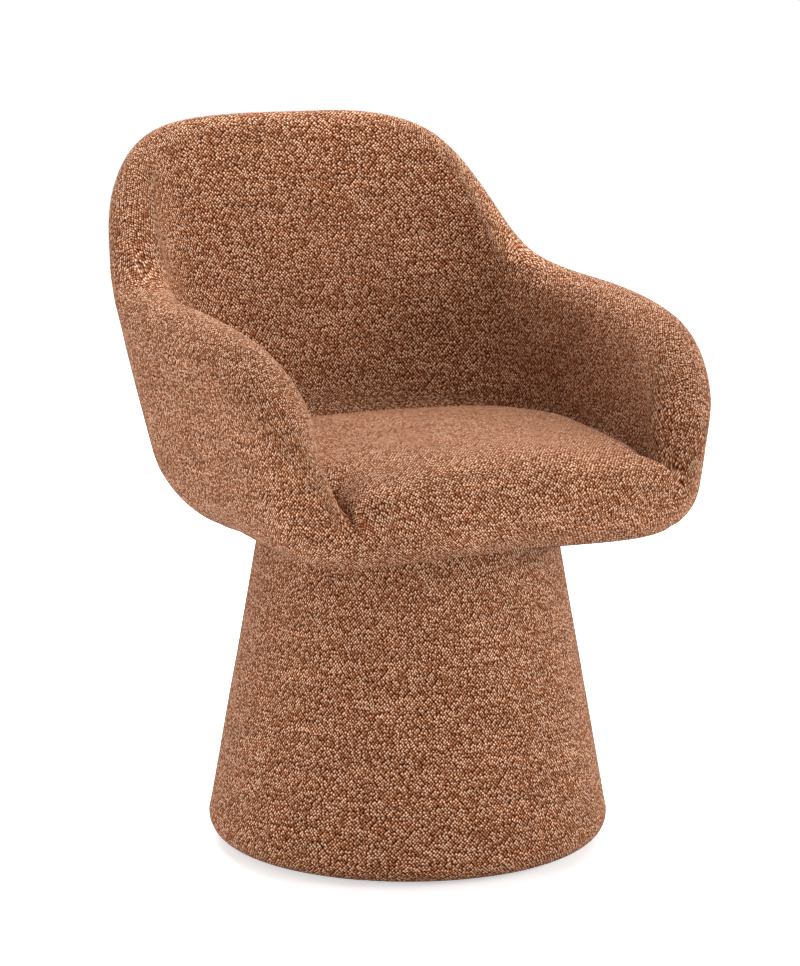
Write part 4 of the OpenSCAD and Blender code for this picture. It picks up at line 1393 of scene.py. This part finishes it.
@dataclass
class Pedestal:
    """The round pedestal: a cone of cloth over foam, with a padded roll at its foot."""

    height: float = 358.0
    foot: float = 226.0
    top: float = 168.0
    roll_radius: float = 28.0
    roll_clear: float = 3.0
    padding: float = 12.0
    drum_wall: float = 4.0
    board_bottom: float = 10.0
    top_round: float = 6.0
    plate_radius: float = 84.0
    fabric: float = 2.0
    soft_gap: float = 0.4
    slack: float = 0.8
    seam_bearing: float = -131.0
    seam_depth: float = 1.4
    seam_width: float = 2.4
    lump_height: float = 1.6
    columns: int = 330
    foam_columns: int = 160

    @property
    def roll(self) -> tuple[float, float]:
        """Centre of the roll's section."""
        return self.foot - self.roll_radius, self.roll_clear + self.roll_radius

    @property
    def lean(self) -> float:
        """Lean of the cone's face, in radians."""
        return math.atan2(self.foot - self.top, self.height - self.roll[1])

    def cone(self, z: float, depth: float = 0.0) -> float:
        """Radius of the cone's face at a height, set back by a depth."""
        share = (z - self.roll[1]) / (self.height - self.roll[1])
        return self.foot + (self.top - self.foot) * share - depth / math.cos(self.lean)

    def outline(self, k: float) -> Array:
        """Outer line of a layer, from under the foot to the top.

        Args:
            k: Depth of the layer below the cloth's face.

        Returns:
            Points as (radius, height).
        """
        (cx, cz), bend = self.roll, self.height - self.top_round
        centre = self.cone(bend) - self.top_round
        line = [[cx - 24, self.board_bottom - self.soft_gap - self.fabric + k]]
        for a in np.radians(np.linspace(-118, math.degrees(self.lean) * 0.5, 26)):
            r = self.roll_radius - k
            line.append([cx + r * math.cos(a), cz + r * math.sin(a)])
        line += [[self.cone(z, k), z] for z in np.linspace(cz + 14, bend - 3, 30)]
        for a in np.radians(np.linspace(8, 90, 7)):
            r = self.top_round - k
            line.append([centre + r * math.cos(a), bend + r * math.sin(a)])
        inner = np.linspace(centre - 8, self.plate_radius + 12, 8)
        return np.array(line + [[radius, self.height - k] for radius in inner])

    def build_cover(self) -> Object:
        """Turn the cloth cover from its section, by the lathe tree."""
        section = np.concatenate([self.outline(0.0), self.outline(self.fabric)[::-1]])
        values = {
            "Columns": self.columns,
            "Seam Angle": math.radians(self.seam_bearing),
            "Seam Depth": self.seam_depth * MM,
            "Seam Width": self.seam_width * MM,
            "Cloth Radius": 0.5 * (self.foot + self.top) * MM,
            "Lump Height": self.lump_height * MM,
        }
        carrier = line_object("pedestal_section", np.insert(section, 1, 0.0, axis=1))
        cover = grow("pedestal_upholstery", carrier, lathe_tree(), values, TWEED)
        return place_piece(cover, Body.BASE, Slot.TWEED, "pedestal_cover", fill=0.9)

    def build_foam(self) -> Object:
        """Make the foam between the cloth and the drum."""
        gap, low, wall = self.soft_gap, self.board_bottom, self.drum_wall
        side = self.outline(self.fabric + gap + self.slack)[1:-9]
        face = self.fabric + self.padding
        under, high = low + 6, self.height - self.fabric - gap - 3
        inner = [
            [self.cone(high, face), high],
            [self.cone(under, face), under - gap],
            [self.cone(under, face + wall), under - gap],
            [self.cone(low, face + wall), low - gap],
            [self.roll[0] - 10, low - gap],
        ]
        radius, height = np.concatenate([side, inner]).T[..., None]
        angle = np.linspace(0, 2 * math.pi, self.foam_columns, endpoint=False)
        ring = [radius * np.cos(angle), radius * np.sin(angle), height + 0 * angle]
        faces = grid_faces(len(radius), self.foam_columns, True).tolist()
        points = np.stack(ring, -1).reshape(-1, 3)
        foam = make_piece("pedestal_padding", points, faces, FOAM)
        return place_piece(foam, Body.BASE, Slot.FOAM, "pedestal_foam", fill=1.0)


@dataclass
class DustCover:
    """A thin black cloth stapled under a body, its edge folded in as a hem."""

    name: str
    node: str
    body: Body
    hole: float
    outline: Callable[[Array], Array]
    bottom: float
    carriers: tuple[str, ...]
    staples: int
    hem: float = 14.0
    sheet: float = 0.45
    sag: float = 1.2

    def build(self) -> Object:
        """Make the cloth and its folded hem, in one closed piece."""
        angle = np.linspace(0, 2 * math.pi, 145)[:-1]
        edge = self.outline(np.degrees(angle))
        start = np.stack([np.sin(angle), np.cos(angle)], -1) * self.hole
        width = np.linalg.norm(edge - start, axis=-1, keepdims=True)

        def row(share: Any, height: float) -> Array:
            """Points at a share of the way from the hole to the edge, and a height."""
            flat = start + (edge - start) * share
            return np.c_[flat, np.full(len(flat), self.bottom + height)]

        # Out along the upper face, round the folded hem and back along the lower face.
        thick, back = self.sheet, 1 - self.hem / width
        folds = [(s, self.drop(s)) for s in np.linspace(0, 1, 15)]
        path = [(s, drop + thick) for s, drop in folds]
        path += [(1 + 0.4 / width, 1.3 * thick), (1.0, 2 * thick), (back, 2 * thick)]
        path += [(back, 2.9 * thick), (1.0, 2.9 * thick), (1 + 1.2 / width, 1.3 * thick)]
        path += [(1.0, 0.0), *folds[-2::-1]]
        ring = np.stack([row(*step) for step in path])
        faces = grid_faces(*ring.shape[:2], True)
        flat = ring.reshape(-1, 3)
        cloth = flat[faces][..., :2]
        piece = make_piece(self.name, flat, faces.tolist(), DUST_CLOTH, cloth)
        place_piece(piece, self.body, Slot.DUST_CLOTH, self.node)
        turn = np.roll(edge, -1, 0)
        area = abs((edge[:, 0] * turn[:, 1] - edge[:, 1] * turn[:, 0]).sum()) / 2
        area += np.linalg.norm(turn - edge, axis=-1).sum() * self.hem
        area -= math.pi * self.hole**2
        return piece

    def drop(self, share: float) -> float:
        """How far the cloth sags at a share of the way from the hole to the edge."""
        return -self.sag * math.sin(math.pi * min(share * 1.12, 1.0))

    def build_staples(self, staple: Object) -> Object:
        """Staple the hem down, by the staple tree."""
        edge = self.outline(np.linspace(0, 360, 145)[:-1])
        inward = edge * (1 - self.hem * 0.5 / np.linalg.norm(edge, axis=-1, keepdims=True))
        points = np.c_[inward, np.full(len(edge), self.bottom - 0.25)]
        carrier = line_object(self.name + "_line", points)
        values = {"Count": self.staples, "Staple": staple, "Skew": 0.16, "Seed": self.staples}
        row = grow(self.name + "_staples", carrier, staple_tree(), values, ZINC)
        return place_piece(row, self.body, Slot.ZINC)


def make_staple(
    crown: float = 10.0, leg: float = 4.5, wire: float = 0.9, flat: float = 0.55
) -> Object:
    """Make one staple, a flat wire bent twice, its crown on z = 0 and its legs up.

    Args:
        crown: Width over the legs' middles.
        leg: Length of a leg.
        wire: Width of the wire.
        flat: Thickness of the wire.

    Returns:
        The staple, which the staple tree repeats.
    """
    half, bend = crown / 2, 1.0
    line = [(-half, leg), (-half, bend), (-half + bend, 0.0)]
    line += [(-x, z) for x, z in line[::-1]]
    points = []
    for x, z in line:
        out_x, out_z = (0.0, -flat) if abs(x) < half - 0.01 else (math.copysign(flat, x), 0.0)
        points += [[x, side, z] for side in (-wire / 2, wire / 2)]
        points += [[x + out_x, side, z + out_z] for side in (wire / 2, -wire / 2)]
    faces = grid_faces(len(line), 4, False).tolist()
    faces += [[3, 2, 1, 0], [len(points) - 4 + j for j in range(4)]]
    return make_piece("staple_pattern", np.array(points), faces, ZINC)


def build_dust_covers(form: TubForm) -> None:
    """Make the two black dust covers and staple them.

    Args:
        form: The tub's form, which gives the outline of the seat's.
    """
    staple, edge_gap, radius = make_staple(), 1.8, 173.0
    seat = DustCover(
        name="seat_dust_cloth",
        node="seat_dust_cover",
        body=Body.SEAT,
        hole=90.0,
        outline=lambda a: form.foot_outline(a, edge_gap),
        bottom=363.3,
        carriers=("seat_board", "tub_shell"),
        staples=58,
        sheet=0.35,
        sag=0.8,
    )
    base = DustCover(
        name="base_dust_cloth",
        node="base_dust_cover",
        body=Body.BASE,
        hole=0.6,
        outline=lambda a: radius * np.stack([np.sin(np.radians(a)), np.cos(np.radians(a))], -1),
        bottom=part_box("base_dust_cover")[0][2] / MM,
        carriers=("pedestal_bottom_board",),
        staples=40,
        sag=0.5,
    )
    for cover in (seat, base):
        cover.build()
        cover.build_staples(staple)
    bpy.data.objects.remove(staple)


@dataclass
class Hardware:
    """The boards, plates, screws and bearing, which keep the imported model's meshes."""

    nodes: Mapping[str, Object]
    boards: tuple[str, ...] = (
        "pedestal_top_board",
        "pedestal_bottom_board",
        "rib_lengthwise",
        "rib_crosswise",
        "seat_board",
    )

    def plywood(self, name: str) -> BirchPlywood:
        """Return a board's plywood, its veneers stacked across its thinnest side."""
        low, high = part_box(name)
        sides = [high[i] - low[i] for i in range(3)]
        grain = Grain(sides.index(min(sides)))
        return BirchPlywood(f"birch_plywood_{grain.name.lower()}", Slot.PLYWOOD, grain)

    def dress(self) -> None:
        """Give each kept node its finish."""
        finishes: dict[str, Finish] = {
            "tub_shell": SHELL,
            "pedestal_drum": HARDBOARD,
            "bearing_balls": BALL_STEEL,
            "ball_cage": CAGE_NYLON,
            "glides": GLIDE_NYLON,
        }
        finishes |= {name: self.plywood(name) for name in self.boards}
        for name, node in self.nodes.items():
            if not node.hide_render:
                finish = finishes.get(name, ZINC)
                node.data.materials.clear()
                node.data.materials.append(finish.material())
                LOG.info("%s: %s", name, finish.name)


@dataclass(frozen=True)
class Lamp:
    """A soft box in metres: where it stands, where it points, its size and its power."""

    name: str
    place: tuple[float, float, float]
    aim: tuple[float, float, float]
    size: tuple[float, float]
    watts: float

    def build(self) -> None:
        """Set the soft box up."""
        data = bpy.data.lights.new(self.name, "AREA")
        data.shape = "RECTANGLE"
        data.size, data.size_y = self.size
        data.energy = self.watts
        box = link(self.name, data)
        box.location = self.place
        way = Vector(self.aim) - Vector(self.place)
        box.rotation_euler = way.to_track_quat("-Z", "Y").to_euler()


@dataclass
class Studio:
    """A pale floor, soft boxes and the camera of the photograph, in metres."""

    camera_place: tuple[float, float, float] = (-1.8188, -3.3377, 1.1008)
    look: tuple[float, float, float] = (0.46871, 0.86485, -0.17987)
    right: tuple[float, float, float] = (0.8792, -0.4765, 0.0)
    lens: float = 155.12
    sensor: float = 36.0
    world: float = 0.22
    floor_glow: float = 0.5
    floor_radius: float = 6.0
    lamps: tuple[Lamp, ...] = (
        Lamp("left_box", (-2.4, -0.4, 0.55), (0.0, 0.0, 0.45), (1.1, 1.1), 31.0),
        Lamp("right_rear_box", (2.0, 1.4, 1.8), (0.0, 0.0, 0.5), (1.6, 1.6), 38.0),
        Lamp("right_front_box", (2.2, -2.6, 1.2), (0.0, 0.0, 0.4), (1.6, 1.6), 64.0),
        Lamp("left_rear_box", (-2.2, 1.6, 1.6), (0.0, 0.0, 0.5), (1.6, 1.6), 14.0),
        Lamp("overhead_box", (-0.3, 0.3, 2.7), (0.0, 0.0, 0.4), (1.4, 1.4), 18.0),
        Lamp("right_side_box", (2.9, -1.2, 1.0), (0.0, 0.0, 0.4), (1.4, 1.4), 31.0),
        Lamp("over_right_box", (0.5, 0.5, 2.6), (0.0, 0.0, 0.5), (1.0, 1.0), 43.0),
        Lamp("back_top_box", (0.2, 1.8, 2.0), (0.0, 0.1, 0.6), (1.4, 1.4), 42.0),
        Lamp("front_low_box", (-0.6, -3.0, 0.5), (0.0, 0.0, 0.35), (1.6, 0.7), 14.0),
    )

    def build(self) -> None:
        """Make the floor, the world, the lamps and the camera."""
        self.build_floor()
        self.build_world()
        for lamp in self.lamps:
            lamp.build()
        self.build_camera()
        bpy.context.scene.view_settings.view_transform = "Standard"

    def build_floor(self) -> None:
        """Make a wide pale disc that keeps the chair's shadow and glows further out."""
        angle = np.linspace(0, 2 * math.pi, 97)[:-1]
        rim = np.stack([np.cos(angle), np.sin(angle), 0 * angle], -1) * self.floor_radius
        mesh = bpy.data.meshes.new("studio_floor")
        mesh.from_pydata(rim.tolist(), [], [list(range(len(angle)))])
        paint = bpy.data.materials.new("white_backdrop_board")
        paint.use_nodes = True
        tree = paint.node_tree
        add = partial(add_node, tree)
        seen = add("LightPath", out="Is Camera Ray")
        away = add("VectorMath LENGTH", add("TexCoord", out="Object"), out="Value")
        reach = (0.35, 1.1, self.floor_glow, 1.0)
        far = add("MapRange", away, *reach, interpolation_type="SMOOTHSTEP")
        matt_white = {
            "Base Color": linear("#F0F0F2"),
            "Roughness": 0.95,
            "Specular IOR Level": 0.0,
            "Emission Color": linear("#FFFFFF"),
            "Emission Strength": add("Math MULTIPLY", seen, far),
        }
        feed(tree, tree.nodes["Principled BSDF"], matt_white)
        mesh.materials.append(paint)
        link("studio_floor", mesh)

    def build_world(self) -> None:
        """Give soft light from everywhere, and white to whatever looks past the floor."""
        world = bpy.data.worlds.new("studio")
        bpy.context.scene.world = world
        world.use_nodes = True
        world.node_tree.nodes.clear()
        add = partial(add_node, world.node_tree)
        path = add("LightPath").node.outputs
        seen = add("Math MAXIMUM", path["Is Camera Ray"], path["Is Glossy Ray"])
        seen = add("Math MAXIMUM", seen, path["Is Transmission Ray"])
        light, white = (
            add("Background", Color=linear("#FFFFFF"), Strength=strength)
            for strength in (self.world, 1.0)
        )
        add("OutputWorld", add("MixShader", seen, light, white))

    def build_camera(self) -> None:
        """Set up the camera that was solved from the chair's outline."""
        data = bpy.data.cameras.new("photo_camera")
        data.sensor_fit = "HORIZONTAL"
        data.sensor_width = self.sensor
        data.lens = self.lens
        camera = link("photo_camera", data)
        look, right = Vector(self.look).normalized(), Vector(self.right).normalized()
        turn = Matrix((right, right.cross(look), -look)).transposed()
        camera.matrix_world = Matrix.Translation(self.camera_place) @ turn.to_4x4()
        bpy.context.scene.camera = camera


def main() -> None:
    """Build every sub-assembly in order, then the studio."""
    logging.basicConfig(level=logging.INFO, format="%(name)s: %(message)s")
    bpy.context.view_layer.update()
    form = TubForm()
    for part in (Tub(form), Cushion(form), Pedestal()):
        part.build_foam()
        part.build_cover()
    build_dust_covers(form)
    Hardware(frame["nodes"]).dress()
    Studio().build()


if __name__ == "__main__":
    main()
